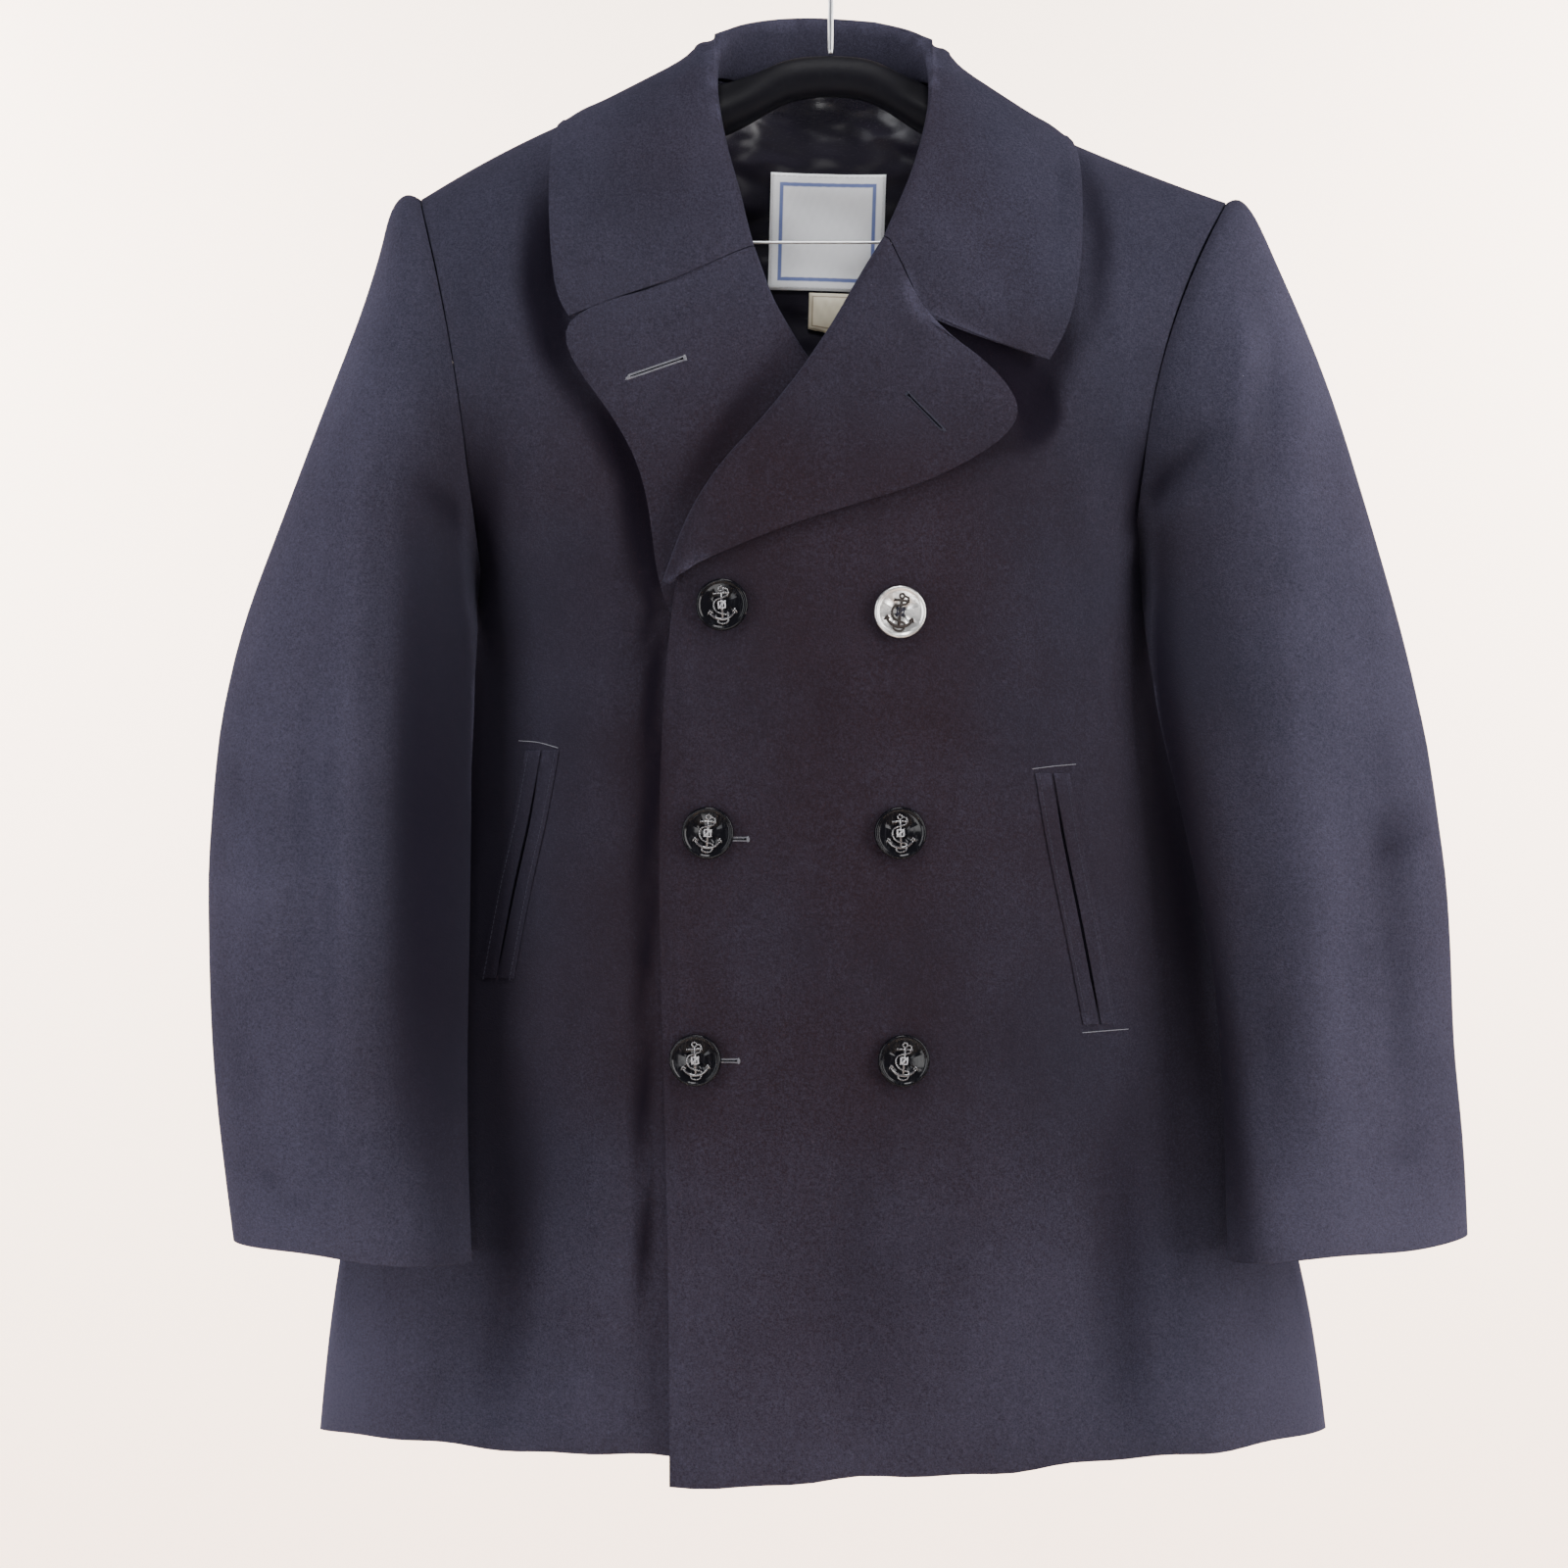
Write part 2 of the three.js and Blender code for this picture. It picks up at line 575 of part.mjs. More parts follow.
// One section of cloth turned over a roll: up from its seam, round the roll, down to its edge.
// settle moves a place of the fall clear of what it lies on.
function turnedRow(seam, roll, edge, outward, settle) {
  const up = roll.clone().sub(seam).normalize();
  const away = outward.clone().addScaledVector(up, -outward.dot(up)).normalize();
  const start = seam.clone().addScaledVector(up, ROOT_GAP).addScaledVector(away, -TURNED);
  const centre = roll.clone().addScaledVector(up, -FOLD_RADIUS);
  const row = [start];
  for (const angle of [170, 125, 90, 50, 15]) {
    const turn = degToRad(angle);
    row.push(centre.clone()
      .addScaledVector(away, FOLD_RADIUS * Math.cos(turn))
      .addScaledVector(up, FOLD_RADIUS * Math.sin(turn)));
  }
  const leave = row.at(-1);
  for (let k = 1; k <= FALL_STEPS; k++) {
    row.push(settle(leave.clone().lerp(edge, k / FALL_STEPS), k / FALL_STEPS));
  }
  return row;
}

// The inner edge of a front above its break point, as places with the front's normals
class NeckEdge {
  constructor(front) {
    this.points = front.grid.slice(LOWER_ROWS).map((row) => row[0]);
    this.lengths = [0];
    for (let i = 1; i < this.points.length; i++) {
      this.lengths.push(this.lengths[i - 1] + this.points[i].distanceTo(this.points[i - 1]));
    }
  }

  get length() {
    return this.lengths.at(-1);
  }

  at(length) {
    let i = 1;
    while (i < this.points.length - 1 && this.lengths[i] < length) i += 1;
    const t = (length - this.lengths[i - 1]) / (this.lengths[i] - this.lengths[i - 1]);
    return {
      point: this.points[i - 1].clone().lerp(this.points[i], t),
      tangent: this.points[i].clone().sub(this.points[i - 1]).normalize(),
    };
  }

  // Length at which the edge passes nearest to [x, z]
  nearest([x, z]) {
    let best = 0;
    let least = Infinity;
    for (let length = 0; length <= this.length; length += 0.5) {
      const { point } = this.at(length);
      const away = Math.hypot(point.x - x, point.z - z);
      if (away < least) {
        least = away;
        best = length;
      }
    }
    return best;
  }
}

function buildLapel(name, pieces) {
  const side = SIDES[name];
  const { front } = pieces[name];
  const neckEdge = new NeckEdge(front);
  const gorge = neckEdge.nearest(GORGE[name]);
  const edge = line(LAPEL_EDGE[name]);
  const grid = [];
  for (let i = 0; i <= LAPEL_ROWS; i++) {
    const t = i / LAPEL_ROWS;
    const { point, tangent } = neckEdge.at(t ** 0.9 * gorge);
    const open = vec(-tangent.z, 0, tangent.x).normalize().multiplyScalar(side.sign);
    const roll = point.clone().addScaledVector(open, ROLL_REACH);
    const end = edge.getPointAt(t);
    const settle = (place, share) => {
      place.y = nearDepth(front.grid, place.x, place.z) - lerp(ROLL_LIFT, FALL_LIFT, share);
      return place;
    };
    end.y = nearDepth(front.grid, end.x, end.z);
    grid.push(turnedRow(point, roll, end, vec(0, -1, 0), settle));
    pieces[name].neck = { neckEdge, gorge, tangent };
  }
  pieces[name].lapel = new Cloth(grid, TURNED, side.sign < 0);
}

function collarRow(name, section, pieces) {
  const side = SIDES[name];
  const { front, back, neck } = pieces[name];
  const behind = section.seam > 1;
  const beside = section.edgeY === null;
  const seam = behind
    ? back.grid.at(-1)[NECK_COLUMNS + 1 - section.seam]
    : neck.neckEdge.at(lerp(neck.gorge, neck.neckEdge.length, section.seam)).point;
  const roll = vec(section.rollX, section.rollY ?? seam.y + 2, section.rollZ);
  const edge = vec(section.edgeX, section.edgeY, section.edgeZ);
  if (beside) edge.y = nearDepth(front.grid, edge.x, edge.z) - FALL_LIFT;
  const outward = beside ? vec(side.sign * 0.5, -1, 0) : edge.clone().sub(seam).setZ(0);
  const settle = (place, share) => {
    const lift = lerp(ROLL_LIFT, FALL_LIFT, share);
    const depth = gridDepth((behind ? back : front).grid, place.x, place.z - lift);
    if (depth !== null) {
      place.y = behind ? Math.max(place.y, depth + lift) : Math.min(place.y, depth - lift);
    }
    return place;
  };
  return turnedRow(seam, roll, edge, outward.normalize(), settle);
}

function buildCollar(pieces) {
  const atGorge = ({ lapel, neck }) => lapel.grid.at(-1)
    .map((place) => place.clone().addScaledVector(neck.tangent, GORGE_GAP));
  const rows = [atGorge(pieces.left)];
  for (const section of [...COLLAR.left, COLLAR_MIDDLE]) rows.push(collarRow('left', section, pieces));
  for (const section of [...COLLAR.right].reverse()) rows.push(collarRow('right', section, pieces));
  rows.push(atGorge(pieces.right));
  const collar = new Cloth(rows, TURNED, false);
  for (let j = 0; j < rows[0].length; j++) {
    Cloth.sew([[collar, 0, j], [pieces.left.lapel, LAPEL_ROWS, j]]);
    Cloth.sew([[collar, rows.length - 1, j], [pieces.right.lapel, LAPEL_ROWS, j]]);
  }
  addNode('lapel_left', pieces.left.lapel.geometry(), WOOL);
  addNode('lapel_right', pieces.right.lapel.geometry(), WOOL);
  addNode('collar', collar.geometry(), WOOL);
}

// A closed solid as a body that can be cut
const wasm = await Module();
wasm.setup();

function toManifold(geometry) {
  const bare = geometry.clone();
  bare.deleteAttribute('normal');
  bare.deleteAttribute('uv');
  const merged = mergeVertices(bare, 1e-4);
  return new wasm.Manifold(new wasm.Mesh({
    numProp: 3,
    vertProperties: new Float32Array(merged.attributes.position.array),
    triVerts: new Uint32Array(merged.index.array),
  }));
}

function toGeometry(solid) {
  const mesh = solid.getMesh();
  const geometry = new THREE.BufferGeometry();
  geometry.setAttribute('position', new THREE.Float32BufferAttribute(mesh.vertProperties, 3));
  geometry.setIndex(new THREE.Uint32BufferAttribute(mesh.triVerts, 1));
  geometry.computeVertexNormals();
  return geometry;
}

// A sew-through button: a dished disc with a rounded rim and four holes. Its face looks to -Y.
function buttonGeometry() {
  const { radius, thick, rim, dish, hole, holeSpacing } = BUTTON;
  const profile = [[0, 0], [radius - 2, 0], [radius, 1.4], [radius, thick - 1], [radius - 0.9, thick],
    [radius - rim, thick], [radius - rim - 1, thick - dish], [0, thick - dish]];
  const disc = new THREE.LatheGeometry(profile.map(([r, h]) => new THREE.Vector2(r, h)), 28);
  let solid = toManifold(disc);
  for (const dx of [-1, 1]) {
    for (const dz of [-1, 1]) {
      const drill = new THREE.CylinderGeometry(hole, hole, 3 * thick, 8);
      drill.translate(dx * holeSpacing / 2, 0, dz * holeSpacing / 2);
      solid = solid.subtract(toManifold(drill));
    }
  }
  return toGeometry(solid);
}

function buildButtons(front) {
  const geometry = buttonGeometry();
  for (const { name, x, z, metal } of BUTTONS) {
    const mesh = addNode(name, geometry.clone(), metal ? SILVER : BLACK_PLASTIC);
    const step = BUTTON.radius;
    const left = gridDepth(front.grid, x - step, z);
    const right = gridDepth(front.grid, x + step, z);
    const low = gridDepth(front.grid, x, z - step);
    const high = gridDepth(front.grid, x, z + step);
    const normal = vec((right - left) / (2 * step), -1, (high - low) / (2 * step)).normalize();
    mesh.quaternion.setFromUnitVectors(vec(0, 1, 0), normal);
    const base = vec(x, gridDepth(front.grid, x, z), z).addScaledVector(normal, BUTTON.lift);
    mesh.position.copy(base);
  }
}

function buildPockets(pieces) {
  for (const [name, places] of Object.entries(POCKETS)) {
    const side = SIDES[name];
    const { front } = pieces[name];
    const slit = line(places);
    for (const [part, near, far] of [['front', -1, -1], ['side', 1, 1]]) {
      const grid = [];
      for (let i = 0; i <= POCKET.steps; i++) {
        const centre = slit.getPointAt(1 - i / POCKET.steps);
        const row = [];
        for (let j = 0; j <= 2; j++) {
          const offset = POCKET.slit / 2 + POCKET.jet * j / 2;
          const x = centre.x + side.sign * near * offset;
          row.push(vec(x, nearDepth(front.grid, x, centre.z) - POCKET.lift - POCKET.thick, centre.z));
        }
        grid.push(side.sign * far > 0 ? row : row.reverse());
      }
      const cloth = new Cloth(grid, POCKET.thick, false);
      addNode(`pocket_jet_${part}_${name}`, cloth.geometry(), WOOL);
    }
  }
}

function tiltedPlaces({ x, top, width, height, tilt }, point) {
  const places = [];
  const turn = degToRad(tilt);
  for (let i = 0; i <= 4; i++) {
    const row = [];
    for (let j = 0; j <= 4; j++) {
      const across = (j / 4 - 0.5) * width;
      const taper = point && i === 0 ? point * (1 - Math.abs(j / 4 - 0.5) * 2) : 0;
      const down = (1 - i / 4) * height + taper;
      row.push([x + across * Math.cos(turn) - down * Math.sin(-turn), top + across * Math.sin(turn) - down]);
    }
    places.push(row);
  }
  return places;
}

function buildLining({ left, right }) {
  const inside = ({ back }, i, j) => back.grid[i][j].clone()
    .addScaledVector(back.normals[i][j], -SHELL - SEAM_GAP - LINING.thick);
  const grid = [];
  const normals = [];
  for (let i = LINING.firstRow; i <= LOWER_ROWS + UPPER_ROWS; i++) {
    const row = [];
    const turned = [];
    for (let j = -LINING.columns; j <= LINING.columns; j++) {
      const half = j < 0 ? right : left;
      row.push(inside(half, i, Math.abs(j)));
      turned.push(half.back.normals[i][Math.abs(j)].clone().negate());
    }
    grid.push(row);
    normals.push(turned);
  }
  const lining = new Cloth(grid, LINING.thick, false);
  lining.normals = normals;
  addNode('neck_lining', lining.geometry(), SATIN);
  return lining;
}

// A flat label on the lining; point is how far the middle of its lower edge hangs down
function buildLabel(name, lining, size, point, look) {
  const grid = tiltedPlaces(size, point).map((row) => row.map(([x, z]) => (
    vec(x, nearDepth(lining.grid, x, z) - size.gap - size.thick, z))));
  addNode(name, new Cloth(grid, size.thick, false).geometry(), look);
}

// A closed solid through rings of points, with flat ends
function loft(rings) {
  const surface = new Surface();
  const count = rings[0].length;
  for (let i = 0; i < rings.length - 1; i++) {
    for (let j = 0; j < count; j++) {
      const k = (j + 1) % count;
      surface.quad(rings[i][j], rings[i][k], rings[i + 1][k], rings[i + 1][j]);
    }
  }
  const first = rings[0];
  const last = rings.at(-1);
  for (let j = 1; j < count - 1; j++) {
    surface.triangle(first[0], first[j + 1], first[j]);
    surface.triangle(last[0], last[j], last[j + 1]);
  }
  return surface.geometry();
}

// Top of the hanger under the shoulders; it rises to the hub between them
function hangerTop(x) {
  const side = x < 0 ? SIDES.right : SIDES.left;
  const arm = shoulderHeight(side, x) - HANGER.clear;
  return lerp(HANGER.hubTop, arm, smooth((Math.abs(x) - HANGER.hubHalf) / 40));
}

function buildHanger() {
  const rings = [];
  const places = [-1, -0.985, -0.9, -0.75, -0.6, -0.45, -0.3, -0.2, -0.12, 0,
    0.12, 0.2, 0.3, 0.45, 0.6, 0.75, 0.9, 0.985, 1];
  for (const place of places) {
    const x = place * HANGER.tip;
    const outward = Math.abs(place);
    const side = x < 0 ? SIDES.right : SIDES.left;
    const end = outward === 1 ? 0.8 : 1;
    const half = lerp(HANGER.hubThick, HANGER.thick, smooth(outward / 0.8)) / 2 * end;
    const deep = lerp(24, HANGER.under, smooth(outward / 0.7)) * end;
    const top = hangerTop(x) - (1 - end) * 12;
    const ring = [];
    for (const [share, drop] of [[0, 0], [0.42, 0.09], [0.8, 0.28], [1, 0.55], [0.85, 0.85], [0.4, 1],
      [-0.4, 1], [-0.85, 0.85], [-1, 0.55], [-0.8, 0.28], [-0.42, 0.09]]) {
      const z = top - deep * drop;
      const roof = 45 * shoulderFall(side, x, z + HANGER.clear) - 2;
      const limit = Math.max(1, outward > 0.2 && drop < 0.6 ? Math.min(half, roof) : half);
      ring.push(vec(x, -share * limit, z));
    }
    rings.push(ring);
  }
  addNode('hanger_body', loft(rings), HANGER_PLASTIC);
}

// A round wire along a path
function wire(path, diameter, steps) {
  const shape = new THREE.Shape();
  shape.absarc(0, 0, diameter / 2, 0, 2 * Math.PI);
  return new THREE.ExtrudeGeometry(shape, {
    steps, curveSegments: 4, bevelEnabled: false, extrudePath: path,
  });
}

function buildHook() {
  const { wire: diameter, hookRadius: radius, hubTop } = HANGER;
  const top = diameter / 2;
  const centre = top - radius;
  const points = [vec(0, 0, hubTop + SEAM_GAP), vec(0, 0, hubTop + 20), vec(-1, 0, centre - radius - 8)];
  for (let angle = 215; angle >= -25; angle -= 20) {
    const turn = degToRad(angle);
    points.push(vec(radius * Math.cos(turn), 0, centre + radius * Math.sin(turn)));
  }
  addNode('hanger_hook', wire(new THREE.CatmullRomCurve3(points), diameter, 30), STEEL);
}

function buildBar() {
  const ends = [-1, 1].map((sign) => {
    let x = 100;
    const under = (place) => hangerTop(sign * place)
      - lerp(24, HANGER.under, smooth(place / HANGER.tip / 0.7));
    while (under(x) > HANGER.barZ + HANGER.barWire / 2) x += 0.1;
    return sign * (x - HANGER.barEnd);
  });
  const path = new THREE.LineCurve3(vec(ends[0], 0, HANGER.barZ), vec(ends[1], 0, HANGER.barZ));
  addNode('hanger_bar', wire(path, HANGER.barWire, 1), STEEL);
}

const pieces = buildBody();
buildLapel('left', pieces);
buildLapel('right', pieces);
buildCollar(pieces);
buildButtons(pieces.left.front);
buildPockets(pieces);
const lining = buildLining(pieces);
buildLabel('label', lining, LABEL, 0, LABEL_CLOTH);
buildLabel('size_tab', lining, SIZE_TAB, 3, TAB_CLOTH);
buildHanger();
buildHook();
buildBar();

export default coat;
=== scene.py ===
# %% [markdown]
# # A wool pea coat on its hanger
# The CAD frame holds the coat's cut pieces as solid shells. In this lesson each of them becomes soft
# cloth: smoother, rounded at its edges, lightly creased, and finished as felted wool, satin, horn-like
# plastic and steel. The frame is in metres, +Z is up, the coat faces -Y and hangs from the origin.

# %% Load the frame
import random
from math import cos, dist, pi, radians, sin

import bmesh
import bpy
import numpy as np
from mathutils import Matrix, Vector
from mathutils.bvhtree import BVHTree
from mathutils.kdtree import KDTree


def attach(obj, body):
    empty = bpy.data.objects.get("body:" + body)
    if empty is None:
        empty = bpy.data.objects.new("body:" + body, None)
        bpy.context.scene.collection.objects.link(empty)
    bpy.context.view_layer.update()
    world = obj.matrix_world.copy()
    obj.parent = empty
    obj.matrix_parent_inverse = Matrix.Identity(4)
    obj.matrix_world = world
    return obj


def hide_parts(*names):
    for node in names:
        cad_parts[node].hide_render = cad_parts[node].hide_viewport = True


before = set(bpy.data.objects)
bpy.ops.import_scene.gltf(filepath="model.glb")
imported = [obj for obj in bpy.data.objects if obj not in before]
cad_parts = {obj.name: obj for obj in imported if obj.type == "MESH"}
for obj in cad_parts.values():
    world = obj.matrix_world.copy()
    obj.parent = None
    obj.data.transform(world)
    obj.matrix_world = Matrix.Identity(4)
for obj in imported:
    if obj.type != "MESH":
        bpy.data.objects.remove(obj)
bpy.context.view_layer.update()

# %% [markdown]
# ## Camera
# The picture was taken straight on, a step and a half away. A lens is set by its angle: the frame
# covers 0.44 m to each side at 1.5 m, so the focal length follows from the width of the sensor.

# %% Camera
VIEWPOINT = (-0.027, -1.55, -0.508)
VIEW_HALF_WIDTH = 0.44
VIEW_DISTANCE = 1.5


def placed(name, data):
    """A new object of a mesh, a lamp or a camera, in the scene."""
    made = bpy.data.objects.new(name, data)
    bpy.context.collection.objects.link(made)
    return made


lens = bpy.data.cameras.new("camera")
lens.sensor_width = 36
lens.lens = lens.sensor_width / 2 * VIEW_DISTANCE / VIEW_HALF_WIDTH
camera = placed("camera", lens)
camera.location = VIEWPOINT
camera.rotation_euler = (radians(90), 0, 0)
bpy.context.scene.camera = camera
print("focal length", round(lens.lens, 2), "mm")

# %% [markdown]
# ## Numbers that vary over a surface
# A material is a little network of nodes. Written out one by one they are hard to read, so this class
# wraps a socket: adding or multiplying two of them adds the Math node that does it.

# %% Shader helpers
class Number:
    """A number or colour that varies over a surface. Arithmetic on it adds Math nodes."""

    def __init__(self, finish, socket):
        self.finish = finish
        self.socket = socket

    def maths(self, operation, *others):
        return self.finish.node("Math", {"operation": operation}, dict(enumerate((self, *others))))

    def __add__(self, other):
        return self.maths("ADD", other)

    __radd__ = __add__

    def __sub__(self, other):
        return self.maths("SUBTRACT", other)

    def __rsub__(self, other):
        return self.finish.node("Math", {"operation": "SUBTRACT"}, {0: other, 1: self})

    def __mul__(self, other):
        return self.maths("MULTIPLY", other)

    def between(self, low, high):
        """0 where the number is under low, 1 over high, and smooth from one to the other."""
        inputs = {"Value": self, "From Min": low, "From Max": high}
        return self.finish.node("MapRange", {"interpolation_type": "SMOOTHSTEP"}, inputs)

    def near(self, value, width):
        """1 where the number is close to value, 0 further away than width."""
        return (self - value).maths("ABSOLUTE").between(width, width * 0.5)


class Finish:
    """A material under construction. Its place is where a point lies in the frame, in metres."""

    def __init__(self, name):
        self.material = bpy.data.materials.new(name)
        self.material.use_nodes = True
        self.tree = self.material.node_tree
        self.tree.nodes.clear()
        self.output = self.tree.nodes.new("ShaderNodeOutputMaterial")
        self.place = self.node("TexCoord", output="Object")

    def node(self, kind, settings=None, inputs=None, output=0):
        """Adds a node: its settings first, then the values or links of its sockets."""
        made = self.tree.nodes.new("ShaderNode" + kind)
        for key, value in (settings or {}).items():
            setattr(made, key, value)
        for key, value in (inputs or {}).items():
            socket = made.inputs[key]
            if isinstance(value, Number):
                self.tree.links.new(value.socket, socket)
            else:
                socket.default_value = (*value, 1) if socket.type == "RGBA" else value
        return Number(self, made.outputs[output])

    def noise(self, size, detail, roughness, stretch=None):
        """Cloudy noise whose spots are about size metres wide, longer along the axes under 1 in stretch."""
        place = self.place
        if stretch:
            place = self.node("Mapping", None, {"Vector": place, "Scale": stretch})
        inputs = {"Vector": place, "Scale": 1 / size, "Detail": detail, "Roughness": roughness}
        return self.node("TexNoise", None, inputs)

    def lines(self, axis, scale, **more):
        """Fine parallel lines that follow each other along an axis."""
        return self.node("TexWave", {"bands_direction": axis}, {"Vector": self.place, "Scale": scale, **more})

    def attribute(self, name):
        """A number that was stored on the mesh."""
        return self.node("Attribute", {"attribute_name": name}, output="Fac")

    def part(self, letter, vector=None):
        """One coordinate of a vector, or of the place."""
        return self.node("SeparateXYZ", None, {0: vector or self.place}, letter)

    def blend(self, share, first, second):
        """A colour between two others."""
        return self.node("Mix", {"data_type": "RGBA"}, {0: share, 6: first, 7: second}, 2)

    def bump(self, height, depth, strength, **over):
        """Small relief that only bends the light, over another one (Normal) if there is one.
        A height of 1 is depth metres."""
        return self.node("Bump", None, {"Strength": strength, "Distance": depth, "Height": height, **over})

    def shader(self, colour, roughness, normal, **constants):
        """What varies, joined in one shader. The constants are the same all over the surface."""
        inputs = {"Base Color": colour, "Roughness": roughness, "Normal": normal}
        inputs.update({key.replace("_", " "): value for key, value in constants.items()})
        return self.node("BsdfPrincipled", None, inputs)

    def ends_in(self, shader):
        """The finished material."""
        self.tree.links.new(shader.socket, self.output.inputs[0])
        return self.material

    def surface(self, *varying, **constants):
        return self.ends_in(self.shader(*varying, **constants))


print("shader helpers ready")

# %% [markdown]
# ## Wool melton
# Melton is heavy woven wool, felted until its weave is gone: what the eye sees is a short nap, a little
# cloudy from pressing, with a faint sheen at grazing angles. So the material has noises of very different
# sizes and rare pale specks of lint. Two attributes of the mesh steer its colour: edge says how near the
# piece's edge a point is, where cloth wears paler, and relief how far it stands out of the folds, less the
# painted shade of the shade rows. The colour gets painted shade in hollows and a painted highlight on
# ridges. It is warmer in front, colder at the back and the collar, and colder and paler towards the sides,
# painted light that makes the outer sleeves paler still. It is also paler towards the hem and at the collar.

# %% Wool
NAVY_WARM = (0.0100, 0.0066, 0.0086)
NAVY_COLD = (0.0104, 0.0098, 0.0146)
# The colour of the painted shade in hollows, in valleys and under edges
NAVY_PAINTED_SHADE = (0.0034, 0.0026, 0.0050)
NAVY_LIGHT = (0.0370, 0.0350, 0.0540)
DUST = (0.16, 0.16, 0.19)
SHEEN_TINT = (0.66, 0.66, 0.95)
COAT_MIDDLE = -0.008
LINT_PER_METRE = 55.0


def wool(name, pressed=0.0, wear=0.28):
    finish = Finish(name)
    nap = finish.noise(0.0009, 5.0, 0.62)
    grain = finish.noise(0.0017, 3.0, 0.6)
    cloud = finish.noise(0.085, 3.0, 0.55)
    brushed = finish.noise(0.018, 2.0, 0.5, (1.0, 1.0, 0.25))
    cells = {"Vector": finish.place, "Scale": LINT_PER_METRE}
    centre = finish.node("TexVoronoi", None, cells, "Position")
    chance = finish.node("TexWhiteNoise", None, {"Vector": centre}, "Value")
    lint = finish.node("TexVoronoi", None, cells).between(0.016, 0.009) * chance.between(0.93, 0.94)
    aside = (finish.part("X") - COAT_MIDDLE).maths("ABSOLUTE")
    height = finish.part("Z")
    # The folds' height, less the painted shade of the shade rows: below 0 the wool gets painted shade
    relief_and_painted_shade = finish.attribute("relief_and_painted_shade")
    painted_hollow_shade = (0.0 - relief_and_painted_shade).between(0.0, 0.9)
    # Painted light: paler on the outer sleeves, a painted highlight on ridges and painted shade in hollows;
    # also paler towards the hem and at the collar
    paler_and_painted_light = (aside.between(0.20, 0.29) * 0.30 + height.between(-0.64, -0.86) * 0.26
             + height.between(-0.36, -0.20) * 0.14 + relief_and_painted_shade.between(0.0, 1.0) * 0.18 - painted_hollow_shade * 0.24)
    pale = (cloud * 0.28 + nap * 0.80 + grain * 0.50 + brushed * 0.10 - 0.68
            + finish.attribute("edge") * wear + paler_and_painted_light)
    patch = finish.noise(0.14, 2.0, 0.5).between(0.35, 0.65)
    # Colder in random patches, at the back and at the collar, and towards the sides, where the colder colour
    # is also paler: painted light
    colder_and_painted_light = (patch * 0.35 + aside.between(0.05, 0.20) * 0.65 + height.between(-0.36, -0.22) * 0.45
            + finish.part("Y").between(-0.02, 0.0))
    colour = finish.blend(colder_and_painted_light, NAVY_WARM, NAVY_COLD)
    # Paler with the nap's grain, the worn edges and the painted light above
    colour = finish.blend(pale.between(0.0, 1.0), colour, NAVY_LIGHT)
    # Painted shade: the wool darkens where it sinks into hollows and along the shade rows
    colour = finish.blend(painted_hollow_shade * 0.70, colour, NAVY_PAINTED_SHADE)
    colour = finish.blend(lint * 0.75, colour, DUST)
    fine = finish.bump(nap * 0.55 + grain * 0.45, 0.0006, 0.8)
    soft = finish.bump(cloud + brushed * 0.35, 0.0016, 0.5, Normal=fine)
    return finish.surface(colour, 0.93 - pressed * 0.12 - nap * 0.10, soft, Sheen_Weight=0.015,
                          Sheen_Roughness=0.35, Sheen_Tint=SHEEN_TINT, Specular_IOR_Level=0.0)


WOOL = wool("wool_melton")
WOOL_COLLAR = wool("wool_melton_pressed", 1.0, 0.30)
WOOL_WELT = wool("wool_melton_welt", 1.0, 0.15)
print("wool finishes", WOOL.name, WOOL_COLLAR.name, WOOL_WELT.name)

# %% [markdown]
# ## Satin, labels and threads
# Satin has long floating threads that mirror light along soft wrinkles, so its relief is broad, with fine
# weft lines on top. It is a lit and a shaded copy of one satin, mixed by depth: glossy at the neck, and
# further down a dull copy with little shine, painted shade where little light gets in. The two labels
# carry no words: the white one has a woven border line, drawn from the piece's own UV map, which runs
# from 0 to 1 across the cut.

# %% Lining and labels
def satin(name):
    finish = Finish(name)
    crumple = finish.noise(0.048, 1.8, 0.5, (0.7, 1.0, 1.5))
    weft = finish.lines("Z", 520.0, Distortion=1.5, Detail=1.0)
    threads = finish.noise(0.0007, 2.0, 0.5, (0.2, 1.0, 1.0))
    colour = finish.blend(crumple.between(0.3, 0.7), (0.0040, 0.0032, 0.0065), (0.010, 0.008, 0.015))
    wide = finish.bump(crumple, 0.016, 0.9)
    normal = finish.bump(weft * 0.6 + threads * 0.4, 0.0001, 0.25, Normal=wide)
    glossy = finish.shader(colour, 0.20 + threads * 0.12, normal, Specular_IOR_Level=0.5)
    # The shaded copy, dull with little shine: painted shade deeper in the neck
    dull = finish.shader(colour, 0.6, normal, Specular_IOR_Level=0.07)
    shaded_copy_share = finish.part("Z").between(-0.085, -0.150)
    return finish.ends_in(finish.node("MixShader", None, {0: shaded_copy_share * 0.85 + 0.1, 1: glossy, 2: dull}))


def darker(colour, share):
    return tuple(c * share for c in colour)


